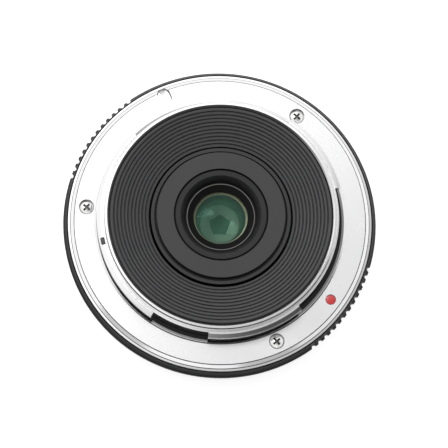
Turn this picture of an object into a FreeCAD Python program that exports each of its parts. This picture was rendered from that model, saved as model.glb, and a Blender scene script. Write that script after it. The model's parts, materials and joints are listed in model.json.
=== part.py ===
# Slim manual-focus camera lens of fixed aperture, with a three-lug bayonet at its rear.
# Millimetres. The origin is the centre of the mount's flange face, on the optical axis.
# +Z points rearwards, into the camera. The lens rests on its front rim, which faces -Z.
# Angles are in degrees about +Z, from +X. The index dot is at -90.

import FreeCAD
import Part
import math
import os

Vector = FreeCAD.Vector

# Fits and gaps
thread_fit = 0.04           # radial gap at a screwed or pushed-in seat
running_fit = 0.05          # radial gap between pieces that slide or turn on each other
axial_play = 0.10           # endwise play of a turning piece between its two faces
open_seam = 0.20            # seam that shows between a turning piece and a fixed one
hole_fit = 0.12             # radial gap round a screw where it only passes through
hole_end = 0.20             # depth left below a screw's tip in a blind hole
overrun = 1.00              # how far a cutting shape runs past the face that it opens

# Bayonet mount: flange, tube and lugs. Offsets are from the tube's wall outwards.
tube_radius = 22.95         # outside of the bayonet tube
tube_wall = 0.95
tube_length = 5.45          # tube end above the flange face
tube_inner_bevel = 0.32
tube_outer_chamfer = 0.22
tube_foot_step = 1.00       # step in to the narrower bore under the baffle's seat
tube_shoulder_width = 0.38  # step out to the tube's thicker lower part
tube_shoulder_height = 3.60 # above the flange face
baffle_seat_height = 0.80   # height of the seat above the flange face
flange_width = 6.00         # offset of the flat bearing face's edge
flange_thickness = 1.60
flange_lip = 0.12           # sharp step round the flat face
flange_bevel_width = 0.72
flange_bevel_drop = 0.36
flange_ledge_width = 0.53
flange_ledge_drop = 0.18
groove_width = 1.25         # relief groove round the tube
groove_depth = 0.90
groove_rim_width = 0.50
groove_rim_drop = 0.18
groove_rim_bevel = 0.28
lug_reach = 1.45            # offset of the lugs' outside
lug_bottom = 2.30           # height of the lugs' underside above the flange face
lug_top = 4.20
lug_flat_width = 0.70
lug_bevel_drop = 0.50
lug_arcs = [(209.5, 255.6), (81.5, 181.5), (-40.5, 0.0)]   # start and end of each lug
lock_slot_angle = 59.0      # pocket for the camera's lock pin
lock_slot_offset = 5.10
lock_slot_width = 2.60
lock_slot_length = 3.50
lock_slot_depth = 1.30
index_dot_angle = -90.7
index_dot_offset = 4.00
index_dot_width = 2.10
index_dot_depth = 0.35
index_dot_sink = 0.04       # how far the dot's face lies below the flange
stop_key_angle = 138.5      # small stop key in the long lug
stop_key_offset = 0.73
stop_key_width = 0.85       # along the radius
stop_key_length = 1.45
stop_key_round = 0.20
stop_key_sink = 0.35
seal_thickness = 0.60       # black ring in the relief groove

# Screws that hold the mount
mount_screw_count = 3
mount_screw_angle = 0.0
mount_screw_offset = 3.70
mount_screw_radius = 0.70
mount_screw_head_radius = 1.32
mount_screw_head_gap = 0.22 # radial, in its counterbore
mount_screw_head_height = 0.85
mount_screw_head_crown = 0.30
mount_screw_head_sink = 0.15
mount_screw_grip = 3.40     # length of the shank below the head
small_head_height = 0.40    # flush heads of the lens's other screws

# Shim between mount and barrel
shim_thickness = 0.30
shim_margin = 0.25

# Rear baffle: dished cover with light-trap ridges
baffle_wall = 0.90
baffle_rim_sink = 0.20      # rim below the tube's end
baffle_rim_width = 0.55
baffle_edge_width = 0.26    # step round the rim, which leaves a dark gap to the tube
baffle_edge_height = 0.85
baffle_dish_depth = 1.90
baffle_opening_gap = 0.45   # between its opening and the guide tube
ridge_pitch = 0.69
ridge_groove_width = 0.31
ridge_depth = 0.45
ridge_lead = 0.25           # plain band outside the outermost groove
ridge_margin = 0.25         # least width of the plain band inside the innermost one

# Main barrel
barrel_wall = 0.96          # grip ring, the widest part, outside the mount's edge
barrel_edge_width = 0.20
barrel_chamfer = 1.20
barrel_rear_drop = 0.75     # rear edge below the flange face
grip_ring_height = 1.10
grip_neck_drop = 0.50       # the body starts this much inside the grip ring
grip_neck_height = 0.25
barrel_body_wall = 2.80     # body below the grip ring
barrel_ledge_width = 2.30   # ledge that the guide tube's disc lies on
barrel_ledge_thickness = 1.60
barrel_neck_wall = 0.80     # spigot that the front rim screws on
barrel_neck_length = 1.20
knurl_centres = [-90.0, 90.0]
knurl_teeth = 12
knurl_pitch = 3.0           # degrees
knurl_groove_radius = 0.52
knurl_depth = 0.45

# Front rim and face plate
front_length = 15.00        # flange face to the rim's front face
rim_taper = 1.90            # the rim's front face is this much inside the grip ring
rim_length = 3.60
rim_lip_step = 0.40         # lip that holds the face plate, inside the barrel's bore
rim_edge_round = 0.50
rim_inner_chamfer = 0.60
plate_thickness = 0.80
plate_width = 5.60          # from the lip to the plate's opening

# Guide tube, fixed, with straight slots for the cam pins
guide_share = 0.5955        # its bore, as a share of the bayonet tube's bore
guide_wall = 0.65
guide_rear_reach = 0.60     # its rear end stands past the sleeve's by this
guide_front_gap = 0.20      # and its front end by this, at infinity
guide_disc_margin = 1.75    # the disc's edge lies this much inside the mount's screws
guide_disc_thickness = 1.10
guide_disc_drop = 1.70      # the disc's seat below the barrel's rear shoulder
guide_screw_margin = 1.10   # inside the disc's edge
guide_screw_radius = 0.50
guide_screw_head_radius = 0.90
guide_screw_grip = 1.10

# Focus travel and cam
focus_throw = 90.0          # degrees from infinity to the near limit
focus_travel = 1.20         # forward travel of the optical unit over that throw
pin_count = 3
pin_angle = 30.0
pin_radius = 0.80
pin_margin = 3.50           # behind the sleeve's front end
cam_wall = 1.20
cam_end_relief = 0.02       # the slots' round ends are this much larger than their width
cam_flange_width = 3.40     # outside the cam's wall
cam_flange_thickness = 1.10
cam_collar_width = 1.40     # outside the cam's wall
cam_collar_length = 1.50
washer_thickness = 0.25
washer_margin = 0.35
stop_pin_angle = 100.0
stop_pin_margin = 0.70      # inside the cam flange's edge
stop_pin_radius = 0.60
stop_pin_grip = 0.80        # depth of the pin in the guide tube's disc

# Ring that keeps the cam in place
retainer_collar_gap = 0.30  # round the cam's collar
retainer_flange_gap = 0.90  # round the cam's flange
retainer_ledge_gap = 0.40   # inside the barrel's ledge
retainer_plate = 1.00
retainer_screw_radius = 0.50
retainer_screw_head_radius = 0.90
retainer_screw_grip = 0.95  # length of thread in the guide tube's disc
retainer_screw_angle = 60.0

# Focus ring and finger tab
focus_ring_gap = 0.50       # round the bezel
focus_ring_thickness = 1.00
focus_screw_margin = 1.05   # inside the cam collar's edge
focus_screw_angle = 15.0
focus_screw_radius = 0.40
focus_screw_head_radius = 0.72
focus_screw_grip = 1.00
tab_angle = -135.0          # at infinity
tab_edge_gap = 0.40         # inside the focus ring's edge
tab_width = 4.30
tab_base_thickness = 0.50
tab_base_arc = 22.0
tab_ridge_end = 5.0         # angle from the base's end to the ridge
tab_ridge_height = 0.75
tab_ridge_margin = 0.55
tab_groove_count = 4
tab_groove_radius = 0.28
tab_screw_end = 2.5         # angle from the base's end to the screw
tab_screw_radius = 0.40
tab_screw_head_radius = 0.62
tab_screw_grip = 0.90

# Moving lens barrel
sleeve_wall = 1.15
sleeve_rear = 3.30
web_rear = -4.40
web_thickness = 1.60
core_share = 0.6555         # tube that holds the glass, as a share of the sleeve's bore
core_wall = 1.05
core_front = -10.60
land_rear = -3.70           # land at the aperture plate
land_thickness = 0.60
land_bore = 3.00
bezel_reach = 0.50          # outside the guide tube's bore
bezel_thickness = 1.80
bezel_recess = 1.80         # its front lies this far inside the rim, at infinity
bezel_boss = 1.20
bezel_land = 3.00           # flat band round the cone's mouth
bezel_throat_gap = 0.40     # the cone's rear edge, outside the front element
bezel_edge_round = 0.35

# Rear cell and its rings
cell_gap = 0.45             # inside the guide tube's bore
cell_height = 1.65          # above the sleeve
cell_boss = 0.75
cell_edge_chamfer = 0.08
cell_bore_chamfer = 0.05
cone_ring_rim = 1.32        # rim round the cone
cone_ring_sink = 0.10
cone_width = 0.95           # from the throat to the mouth
cone_throat_gap = 0.25      # outside the rear glass ring
cone_depth = 1.65
cone_ring_step_width = 0.30 # step round the rim, which leaves a dark seam to the cell
cone_ring_step_depth = 0.60
lens_ring_width = 0.85      # outside the rear glass
lens_ring_height = 0.35     # above the core
lens_ring_wall = 0.25
lens_ring_overlap = 0.55    # over the rear glass
lens_ring_land = 0.50

# Glass: rims, vertices and curvatures
rear_element_rear = 1.90    # rim, rear side
rear_element_rim = 1.50
rear_element_back_curve = 18.0
rear_element_front_curve = 60.0
rear_doublet_rear = -1.00
rear_doublet_back_curve = 13.0
rear_doublet_join_curve = 16.0
rear_doublet_crown_rim = 1.00
rear_doublet_front_curve = 60.0
aperture_thickness = 0.15
aperture_sides = 5
aperture_reach = 1.64       # centre to corner, 18 mm focal length at about f/6.3
aperture_turn = 36.0        # angle of one corner
front_glass_wall = 2.80     # core's wall round the front doublet
front_doublet_front = -7.00
front_doublet_front_curve = 12.0
front_doublet_join_curve = 14.0
front_doublet_crown_rim = 0.80
front_doublet_back_curve = 40.0
front_element_wall = 1.60   # core's wall round the front element
front_element_rear = -8.00
front_element_rim = 1.60
front_element_front_curve = 22.0
front_element_back_curve = 9.0
front_element_land = 1.60   # flat band round the hollow in its rear side
spacer_wall = 1.10
front_retainer_wall = 0.95

# Sizes that follow from those above; z is negative towards the front
flange_back = -flange_thickness
shoulder = flange_back - shim_thickness
front_face = -front_length
tube_bore = tube_radius - tube_wall
tube_foot_radius = tube_bore - tube_foot_step
tube_shoulder_radius = tube_radius + tube_shoulder_width
groove_radius = tube_radius + groove_width
lug_radius = tube_radius + lug_reach
lock_slot_radius = tube_radius + lock_slot_offset
index_dot_radius = tube_radius + index_dot_offset
stop_key_place = tube_radius + stop_key_offset
mount_screw_place = tube_radius + mount_screw_offset
flange_radius = tube_radius + flange_width
flange_edge_radius = flange_radius + flange_bevel_width + flange_ledge_width
flange_edge_drop = flange_lip + flange_bevel_drop + flange_ledge_drop
barrel_recess = flange_edge_radius + thread_fit
barrel_radius = barrel_recess + barrel_wall
grip_top = -barrel_rear_drop - barrel_chamfer
grip_bottom = grip_top - grip_ring_height
neck_radius = barrel_radius - grip_neck_drop
neck_bottom = grip_bottom - grip_neck_height
barrel_bore = neck_radius - barrel_body_wall
barrel_neck_radius = barrel_bore + barrel_neck_wall
rim_radius = barrel_radius - rim_taper
rim_lip_radius = barrel_bore - rim_lip_step
plate_opening_radius = rim_lip_radius - plate_width
rim_rear = front_face + rim_length
disc_seat = shoulder - guide_disc_drop
disc_top = disc_seat + guide_disc_thickness
ledge_bottom = disc_seat - barrel_ledge_thickness
guide_bore = tube_bore * guide_share
guide_radius = guide_bore + guide_wall
guide_rear = sleeve_rear + guide_rear_reach
guide_disc_radius = mount_screw_place - guide_disc_margin
guide_screw_place = guide_disc_radius - guide_screw_margin
barrel_ledge_bore = guide_disc_radius - barrel_ledge_width
baffle_opening = guide_radius + baffle_opening_gap
baffle_rim = tube_length - baffle_rim_sink
plate_rear = rim_rear - barrel_neck_length
plate_front = plate_rear - plate_thickness
washer_front = disc_seat - washer_thickness
cam_rear = washer_front - axial_play / 2
cam_bore = guide_radius + running_fit
cam_radius = cam_bore + cam_wall
cam_collar_radius = cam_radius + cam_collar_width
cam_flange_radius = cam_radius + cam_flange_width
cam_flange_front = cam_rear - cam_flange_thickness
stop_pin_place = cam_flange_radius - stop_pin_margin
focus_ring_rear = plate_front + focus_ring_thickness
cam_front = focus_ring_rear
retainer_rear = cam_flange_front - axial_play
retainer_front = retainer_rear - retainer_plate
retainer_bore = cam_collar_radius + retainer_collar_gap
retainer_foot_bore = cam_flange_radius + retainer_flange_gap
retainer_radius = barrel_ledge_bore - retainer_ledge_gap
retainer_screw_place = (retainer_foot_bore + retainer_radius) / 2
bezel_radius = guide_bore + bezel_reach
bezel_mouth = bezel_radius - bezel_land
focus_ring_radius = plate_opening_radius - open_seam
focus_ring_bore = bezel_radius + focus_ring_gap
focus_screw_place = cam_collar_radius - focus_screw_margin
tab_outer = focus_ring_radius - tab_edge_gap
tab_inner = tab_outer - tab_width
tab_screw_place = (tab_inner + tab_outer) / 2
tab_screw_arc = tab_base_arc - 2 * tab_screw_end
tab_ridge_arc = tab_base_arc - 2 * tab_ridge_end
sleeve_front = front_length - bezel_recess - bezel_thickness
guide_front = sleeve_front - guide_front_gap
pin_depth = sleeve_front - pin_margin
sleeve_radius = guide_bore - running_fit
sleeve_bore = sleeve_radius - sleeve_wall
cell_radius = guide_bore - cell_gap
cell_rear = sleeve_rear + cell_height
core_rear = sleeve_rear - cell_boss
lens_ring_rear = core_rear + lens_ring_height
core_radius = sleeve_bore * core_share
lens_ring_radius = core_radius - core_wall
rear_glass_radius = lens_ring_radius - lens_ring_width
lens_ring_bore = rear_glass_radius - lens_ring_overlap
front_glass_radius = core_radius - front_glass_wall
cone_throat = lens_ring_radius + cone_throat_gap
cone_mouth = cone_throat + cone_width
cone_ring_radius = cone_mouth + cone_ring_rim
front_element_radius = core_radius - front_element_wall
front_element_bowl = front_element_radius - front_element_land
bezel_throat = front_element_radius + bezel_throat_gap
slot_half_width = pin_radius + running_fit
cell_fit_radius = sleeve_bore - thread_fit
land_front = land_rear - land_thickness
rear_element_front = rear_element_rear - rear_element_rim
front_retainer_rear = front_element_rear - front_element_rim
rear_doublet_front = land_rear
front_doublet_rear = land_front - aperture_thickness

axis_point = Vector(0, 0, 0)
axis_line = Vector(0, 0, 1)


# Face in the XZ half-plane. A step is a point (r, z), or (middle, end) for an arc.
# A step to the point where the outline already is adds nothing.
def section(start, *steps):
    edges = []
    here = Vector(start[0], 0, start[1])
    for step in steps + (start,):
        is_arc = isinstance(step[0], tuple)
        target = step[1] if is_arc else step
        end = Vector(target[0], 0, target[1])
        if is_arc:
            middle = Vector(step[0][0], 0, step[0][1])
            edges.append(Part.Arc(here, middle, end).toShape())
        elif not end.isEqual(here, 1e-6):
            edges.append(Part.LineSegment(here, end).toShape())
        here = end
    return Part.Face(Part.Wire(edges))


def turned(start, *steps):
    return section(start, *steps).revolve(axis_point, axis_line, 360)


def sector(start_angle, end_angle, start, *steps):
    solid = section(start, *steps).revolve(axis_point, axis_line, end_angle - start_angle)
    return at_angle(solid, start_angle)


def tube(outer, inner, low, high):
    return turned((inner, low), (outer, low), (outer, high), (inner, high))


def cylinder(radius, low, high, place=0.0, angle=0.0):
    solid = Part.makeCylinder(radius, high - low, Vector(place, 0, low))
    return at_angle(solid, angle)


def at_angle(shape, angle):
    copy = shape.copy()
    copy.rotate(axis_point, axis_line, angle)
    return copy


def spaced(count, first):
    return [first + index * 360.0 / count for index in range(count)]


def pattern(shape, angles):
    return [at_angle(shape, angle) for angle in angles]


# Middle point of a quarter-round corner of the given size, bulging away from its centre.
def round_middle(centre, radius, angle):
    turn = math.radians(angle)
    return (centre[0] + radius * math.cos(turn), centre[1] + radius * math.sin(turn))


# Rise of a spherical surface between its vertex and the distance r from the axis.
def sag(curve, r):
    return curve - math.sqrt(curve * curve - r * r)


# Domed screw with its head's underside at z = 0 and its shank downwards.
def pan_screw(shank_radius, grip, head_radius, head_height, crown):
    curve = (head_radius * head_radius + crown * crown) / (2 * crown)
    middle = (head_radius / 2, head_height - sag(curve, head_radius / 2))
    return turned((0, -grip), (shank_radius, -grip), (shank_radius, 0), (head_radius, 0),
                  (head_radius, head_height - crown), (middle, (0, head_height)))


# Flush screw: its cone head reaches z = 0 and its shank goes down.
def flush_screw(shank_radius, grip, head_radius):
    return turned((0, -grip - small_head_height), (shank_radius, -grip - small_head_height),
                  (shank_radius, -small_head_height), (head_radius, 0), (0, 0))


# Space that a flush screw needs: a countersink and a clear hole.
def flush_screw_hole(shank_radius, grip, head_radius):
    return turned((0, -grip - small_head_height), (shank_radius, -grip - small_head_height),
                  (shank_radius, -small_head_height - thread_fit),
                  (head_radius + thread_fit, 0), (head_radius + thread_fit, thread_fit),
                  (0, thread_fit))


# Place a screw drawn at the origin: moved out by place, raised to z, turned to angle.
def placed(shape, place, z, angle, front=False):
    copy = shape.copy()
    if front:
        copy.rotate(axis_point, Vector(1, 0, 0), 180)
    copy.translate(Vector(place, 0, z))
    return at_angle(copy, angle)


# Lug on the tube's thicker part. A channel is left between its top and the tube's thinner end.
def lug(start_angle, end_angle):
    inside = tube_radius - tube_wall / 2
    flat_edge = tube_radius + lug_flat_width
    return sector(start_angle, end_angle, (inside, lug_bottom), (lug_radius, lug_bottom),
                  (lug_radius, lug_top - lug_bevel_drop), (flat_edge, lug_top),
                  (tube_shoulder_radius, lug_top), (tube_shoulder_radius, tube_shoulder_height),
                  (inside, tube_shoulder_height))


def lock_slot():
    half = lock_slot_width / 2
    reach = (lock_slot_length - lock_slot_width) / 2
    ends = [cylinder(half, -lock_slot_depth, flange_lip, lock_slot_radius + side * reach)
            for side in (-1, 1)]
    middle = Part.makeBox(2 * reach, lock_slot_width, lock_slot_depth + flange_lip,
                          Vector(lock_slot_radius - reach, -half, -lock_slot_depth))
    slot = middle.fuse(ends).removeSplitter()
    return at_angle(slot, lock_slot_angle)


# Upright block with round corners, the shape of the stop key and of its hole.
def stop_block(low, high):
    block = Part.makeBox(stop_key_width, stop_key_length, high - low,
                         Vector(-stop_key_width / 2, -stop_key_length / 2, low))
    corners = [edge for edge in block.Edges if edge.Vertexes[0].Z != edge.Vertexes[1].Z]
    block = block.makeFillet(stop_key_round, corners)
    block.translate(Vector(stop_key_place, 0, 0))
    return at_angle(block, stop_key_angle)


def bayonet_mount():
    bevel_foot = -flange_lip - flange_bevel_drop
    rim_top = tube_length - tube_outer_chamfer
    ring = turned(
        (tube_foot_radius, flange_back), (tube_foot_radius, baffle_seat_height),
        (tube_bore, baffle_seat_height), (tube_bore, tube_length - tube_inner_bevel),
        (tube_bore + tube_inner_bevel, tube_length),
        (tube_radius - tube_outer_chamfer, tube_length), (tube_radius, rim_top),
        (tube_radius, tube_shoulder_height), (tube_shoulder_radius, tube_shoulder_height),
        (tube_shoulder_radius, -groove_depth), (groove_radius, -groove_depth),
        (groove_radius, -groove_rim_drop),
        (groove_radius + groove_rim_width, -groove_rim_drop),
        (groove_radius + groove_rim_width + groove_rim_bevel, 0), (flange_radius, 0),
        (flange_radius, -flange_lip), (flange_radius + flange_bevel_width, bevel_foot),
        (flange_radius + flange_bevel_width, -flange_edge_drop),
        (flange_edge_radius, -flange_edge_drop), (flange_edge_radius, flange_back))
    ring = ring.fuse([lug(start, end) for start, end in lug_arcs])
    head_seat = -mount_screw_head_sink - mount_screw_head_height
    head_hole = cylinder(mount_screw_head_radius + mount_screw_head_gap, head_seat, overrun,
                         mount_screw_place)
    shank_hole = cylinder(mount_screw_radius + hole_fit, flange_back - overrun, head_seat,
                          mount_screw_place)
    dot_hole = cylinder(index_dot_width / 2, -index_dot_depth, overrun, index_dot_radius,
                        index_dot_angle)
    stop_hole = stop_block(lug_bottom - overrun, lug_top + overrun)
    cuts = [dot_hole, stop_hole, lock_slot()]
    for angle in spaced(mount_screw_count, mount_screw_angle):
        cuts.append(at_angle(head_hole.fuse(shank_hole), angle))
    return ring.cut(cuts)


def mount_screws():
    screw = pan_screw(mount_screw_radius, mount_screw_grip, mount_screw_head_radius,
                      mount_screw_head_height, mount_screw_head_crown)
    seat = -mount_screw_head_sink - mount_screw_head_height
    return [placed(screw, mount_screw_place, seat, angle)
            for angle in spaced(mount_screw_count, mount_screw_angle)]


def index_dot():
    return cylinder(index_dot_width / 2, -index_dot_depth, -index_dot_sink,
                    index_dot_radius, index_dot_angle)


def lug_stop_key():
    return stop_block(lug_bottom, lug_top - stop_key_sink)


def light_seal_ring():
    return tube(groove_radius - thread_fit, tube_shoulder_radius + thread_fit, -groove_depth,
                -groove_depth + seal_thickness)


def mount_shim():
    ring = tube(flange_edge_radius - shim_margin, barrel_step_bore() + shim_margin,
                shoulder, flange_back)
    hole = cylinder(mount_screw_radius + hole_fit, shoulder - overrun,
                    flange_back + overrun, mount_screw_place)
    return ring.cut(pattern(hole, spaced(mount_screw_count, mount_screw_angle)))


# Bore in the barrel's rear shoulder that takes the guide tube's disc.
def barrel_step_bore():
    return guide_disc_radius + thread_fit


def rear_baffle():
    outer = tube_bore - thread_fit
    dish_start = outer - baffle_rim_width
    slope = baffle_dish_depth / (dish_start - baffle_opening)
    ridge_run = dish_start - baffle_opening - ridge_margin
    surface = [(dish_start, baffle_rim)]
    for index in range(int(ridge_run / ridge_pitch)):
        start = dish_start - ridge_lead - index * ridge_pitch
        end = start - ridge_groove_width
        start_z = baffle_rim - (dish_start - start) * slope
        end_z = baffle_rim - (dish_start - end) * slope
        surface.append((start, start_z))
        surface.append(((start + end) / 2, start_z - ridge_depth))
        surface.append((end, end_z))
    inner_top = baffle_rim - baffle_dish_depth
    skirt_inner = outer - baffle_wall
    edge_foot = baffle_rim - baffle_edge_height
    return turned((outer, baffle_seat_height), (outer, edge_foot),
                  (outer - baffle_edge_width, edge_foot), (outer - baffle_edge_width, baffle_rim),
                  *surface, (baffle_opening, inner_top),
                  (baffle_opening, inner_top - baffle_wall),
                  (skirt_inner, baffle_rim - baffle_wall - slope * baffle_wall),
                  (skirt_inner, baffle_seat_height))


# Radius of the tapered outside, a straight line from the neck to the rim's front face.
def taper_radius(z):
    share = (neck_bottom - z) / (neck_bottom - front_face)
    return neck_radius + (rim_radius - neck_radius) * share


def knurl_grooves():
    centre = barrel_radius + knurl_groove_radius - knurl_depth
    groove = cylinder(knurl_groove_radius, neck_bottom, 0, centre)
    grooves = []
    for middle in knurl_centres:
        first = middle - knurl_teeth * knurl_pitch / 2
        grooves += pattern(groove, [first + index * knurl_pitch
                                    for index in range(knurl_teeth + 1)])
    return grooves


def main_barrel():
    edge = barrel_recess + barrel_edge_width
    body = turned(
        (barrel_ledge_bore, ledge_bottom), (barrel_ledge_bore, disc_seat),
        (barrel_step_bore(), disc_seat), (barrel_step_bore(), shoulder),
        (barrel_recess, shoulder), (barrel_recess, -barrel_rear_drop),
        (edge, -barrel_rear_drop), (barrel_radius, grip_top), (barrel_radius, grip_bottom),
        (neck_radius, grip_bottom), (neck_radius, neck_bottom),
        (taper_radius(rim_rear), rim_rear), (barrel_neck_radius, rim_rear),
        (barrel_neck_radius, plate_rear), (barrel_bore, plate_rear),
        (barrel_bore, ledge_bottom))
    screw_seat = -mount_screw_head_sink - mount_screw_head_height
    mount_hole = cylinder(mount_screw_radius, screw_seat - mount_screw_grip - hole_end,
                          shoulder + overrun, mount_screw_place)
    disc_hole = cylinder(guide_screw_radius, ledge_bottom - overrun, disc_seat + overrun,
                         guide_screw_place)
    cuts = pattern(mount_hole, spaced(mount_screw_count, mount_screw_angle))
    cuts += pattern(disc_hole, guide_screw_angles())
    return body.cut(cuts + knurl_grooves())


def front_rim():
    bore = barrel_neck_radius + thread_fit
    turn = rim_edge_round
    lip = rim_lip_radius
    outer = rim_radius
    middle = round_middle((outer - turn, front_face + turn), turn, -45)
    return turned(
        (bore, rim_rear), (taper_radius(rim_rear), rim_rear),
        (taper_radius(front_face + turn), front_face + turn),
        (middle, (outer - turn, front_face)), (lip + rim_inner_chamfer, front_face),
        (lip, front_face + rim_inner_chamfer), (lip, plate_front), (bore, plate_front))


def face_plate():
    return tube(barrel_neck_radius, plate_opening_radius, plate_front, plate_rear)


def guide_screw_angles():
    return spaced(mount_screw_count, mount_screw_angle + 60)


# Straight slot in the guide tube, long enough for the pin's travel.
def guide_slot():
    inner = guide_bore - overrun
    length = guide_wall + 2 * overrun
    ends = [Part.makeCylinder(slot_half_width, length, Vector(inner, 0, z), Vector(1, 0, 0))
            for z in (-pin_depth, -pin_depth - focus_travel)]
    middle = Part.makeBox(length, 2 * slot_half_width, focus_travel,
                          Vector(inner, -slot_half_width, -pin_depth - focus_travel))
    return middle.fuse(ends)


def guide_tube():
    body = turned(
        (guide_bore, -guide_front), (guide_radius, -guide_front), (guide_radius, disc_seat),
        (guide_disc_radius, disc_seat), (guide_disc_radius, disc_top),
        (guide_radius, disc_top), (guide_radius, guide_rear), (guide_bore, guide_rear))
    cuts = pattern(guide_slot(), spaced(pin_count, pin_angle))
    sink = flush_screw_hole(guide_screw_radius + hole_fit, guide_disc_thickness,
                            guide_screw_head_radius)
    cuts += [placed(sink, guide_screw_place, disc_top, angle)
             for angle in guide_screw_angles()]
    tapped = cylinder(retainer_screw_radius, disc_seat - overrun, disc_top + overrun,
                      retainer_screw_place)
    cuts += pattern(tapped, retainer_screw_angles())
    cuts.append(cylinder(stop_pin_radius, disc_seat - overrun, disc_seat + stop_pin_grip,
                         stop_pin_place, stop_pin_angle))
    return body.cut(cuts)


def guide_tube_screws():
    screw = flush_screw(guide_screw_radius, guide_disc_thickness - small_head_height
                        + guide_screw_grip, guide_screw_head_radius)
    return [placed(screw, guide_screw_place, disc_top, angle)
            for angle in guide_screw_angles()]


def friction_washer():
    return tube(stop_pin_place - stop_pin_radius - washer_margin, guide_radius + washer_margin,
                washer_front, disc_seat)


def stop_pin():
    return cylinder(stop_pin_radius, cam_flange_front, disc_seat + stop_pin_grip,
                    stop_pin_place, stop_pin_angle)


# Helical slot that drives one pin. It climbs from the pin's place at the near limit to its
# place at infinity, and each end is round.
def cam_slot():
    lead = focus_travel * 360.0 / focus_throw
    low = -pin_depth - focus_travel
    inner = cam_bore - overrun
    outer = cam_radius + overrun
    corners = [Vector(inner, 0, low - slot_half_width), Vector(outer, 0, low - slot_half_width),
               Vector(outer, 0, low + slot_half_width), Vector(inner, 0, low + slot_half_width)]
    outline = Part.makePolygon(corners + corners[:1])
    helix = Part.makeHelix(lead, focus_travel, (inner + outer) / 2)
    helix.translate(Vector(0, 0, low))
    channel = Part.Wire(helix).makePipeShell([outline], True, True)
    end_radius = slot_half_width + cam_end_relief
    start = Part.makeCylinder(end_radius, outer - inner, Vector(inner, 0, low),
                              Vector(1, 0, 0))
    end = Part.makeCylinder(end_radius, outer - inner, Vector(inner, 0, -pin_depth),
                            Vector(1, 0, 0))
    return [at_angle(channel, -focus_throw), at_angle(start, -focus_throw), end]


# Notch in the cam's flange whose two ends meet the stop pin.
def stop_notch():
    bottom = stop_pin_place - stop_pin_radius - running_fit
    side = math.degrees(math.asin((stop_pin_radius + running_fit) / stop_pin_place))
    rim = cam_flange_radius + overrun
    low = cam_flange_front - overrun
    high = cam_rear + overrun
    return sector(stop_pin_angle - focus_throw - side, stop_pin_angle + side,
                  (bottom, low), (rim, low), (rim, high), (bottom, high))


def focus_screw_angles():
    return spaced(3, focus_screw_angle)


def cam_ring():
    body = turned(
        (cam_bore, cam_front), (cam_collar_radius, cam_front),
        (cam_collar_radius, cam_front + cam_collar_length),
        (cam_radius, cam_front + cam_collar_length), (cam_radius, cam_flange_front),
        (cam_flange_radius, cam_flange_front), (cam_flange_radius, cam_rear),
        (cam_bore, cam_rear))
    cuts = []
    for piece in cam_slot():
        cuts += pattern(piece, spaced(pin_count, pin_angle))
    tapped = cylinder(focus_screw_radius, cam_front - overrun,
                      cam_front + focus_screw_grip + hole_end, focus_screw_place)
    cuts += pattern(tapped, focus_screw_angles())
    cuts.append(stop_notch())
    return body.cut(cuts)


def retainer_screw_angles():
    return spaced(3, retainer_screw_angle)


def cam_retainer():
    body = turned(
        (retainer_bore, retainer_front), (retainer_radius, retainer_front),
        (retainer_radius, disc_seat), (retainer_foot_bore, disc_seat),
        (retainer_foot_bore, retainer_rear), (retainer_bore, retainer_rear))
    height = disc_seat - retainer_front
    sink = flush_screw_hole(retainer_screw_radius + hole_fit, height,
                            retainer_screw_head_radius)
    return body.cut([placed(sink, retainer_screw_place, retainer_front, angle, True)
                     for angle in retainer_screw_angles()])


def cam_retainer_screws():
    height = disc_seat - retainer_front
    screw = flush_screw(retainer_screw_radius, height - small_head_height
                        + retainer_screw_grip, retainer_screw_head_radius)
    return [placed(screw, retainer_screw_place, retainer_front, angle, True)
            for angle in retainer_screw_angles()]


def focus_ring():
    ring = tube(focus_ring_radius, focus_ring_bore, plate_front, focus_ring_rear)
    height = focus_ring_thickness
    sink = flush_screw_hole(focus_screw_radius + hole_fit, height, focus_screw_head_radius)
    cuts = [placed(sink, focus_screw_place, plate_front, angle, True)
            for angle in focus_screw_angles()]
    tapped = cylinder(tab_screw_radius, plate_front - overrun, focus_ring_rear + overrun,
                      tab_screw_place)
    cuts += pattern(tapped, tab_screw_angles())
    return ring.cut(cuts)


def focus_ring_screws():
    screw = flush_screw(focus_screw_radius, focus_ring_thickness - small_head_height
                        + focus_screw_grip, focus_screw_head_radius)
    return [placed(screw, focus_screw_place, plate_front, angle, True)
            for angle in focus_screw_angles()]


def tab_screw_angles():
    return [tab_angle - tab_screw_arc / 2, tab_angle + tab_screw_arc / 2]


# Finger tab: a thin foot along the ring and a raised ridge with grip grooves across it.
def focus_tab():
    top = plate_front - tab_base_thickness
    crest = top - tab_ridge_height
    start = tab_angle - tab_base_arc / 2
    foot = sector(start, start + tab_base_arc, (tab_inner, plate_front),
                  (tab_outer, plate_front), (tab_outer, top), (tab_inner, top))
    inner = tab_inner + tab_ridge_margin
    outer = tab_outer - tab_ridge_margin
    start = tab_angle - tab_ridge_arc / 2
    ridge = sector(start, start + tab_ridge_arc, (inner, top), (outer, top),
                   (outer - tab_ridge_margin / 2, crest), (inner + tab_ridge_margin / 2, crest))
    sink = flush_screw_hole(tab_screw_radius + hole_fit, tab_base_thickness,
                            tab_screw_head_radius)
    cuts = [placed(sink, tab_screw_place, top, angle, True) for angle in tab_screw_angles()]
    groove = Part.makeCylinder(tab_groove_radius, tab_outer, Vector(0, 0, crest),
                               Vector(1, 0, 0))
    step = tab_ridge_arc / (tab_groove_count + 1)
    for index in range(tab_groove_count):
        cuts.append(at_angle(groove, start + (index + 1) * step))
    return foot.fuse(ridge).cut(cuts)


def focus_tab_screws():
    screw = flush_screw(tab_screw_radius, tab_base_thickness - small_head_height
                        + tab_screw_grip, tab_screw_head_radius)
    top = plate_front - tab_base_thickness
    return [placed(screw, tab_screw_place, top, angle, True)
            for angle in tab_screw_angles()]


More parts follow.
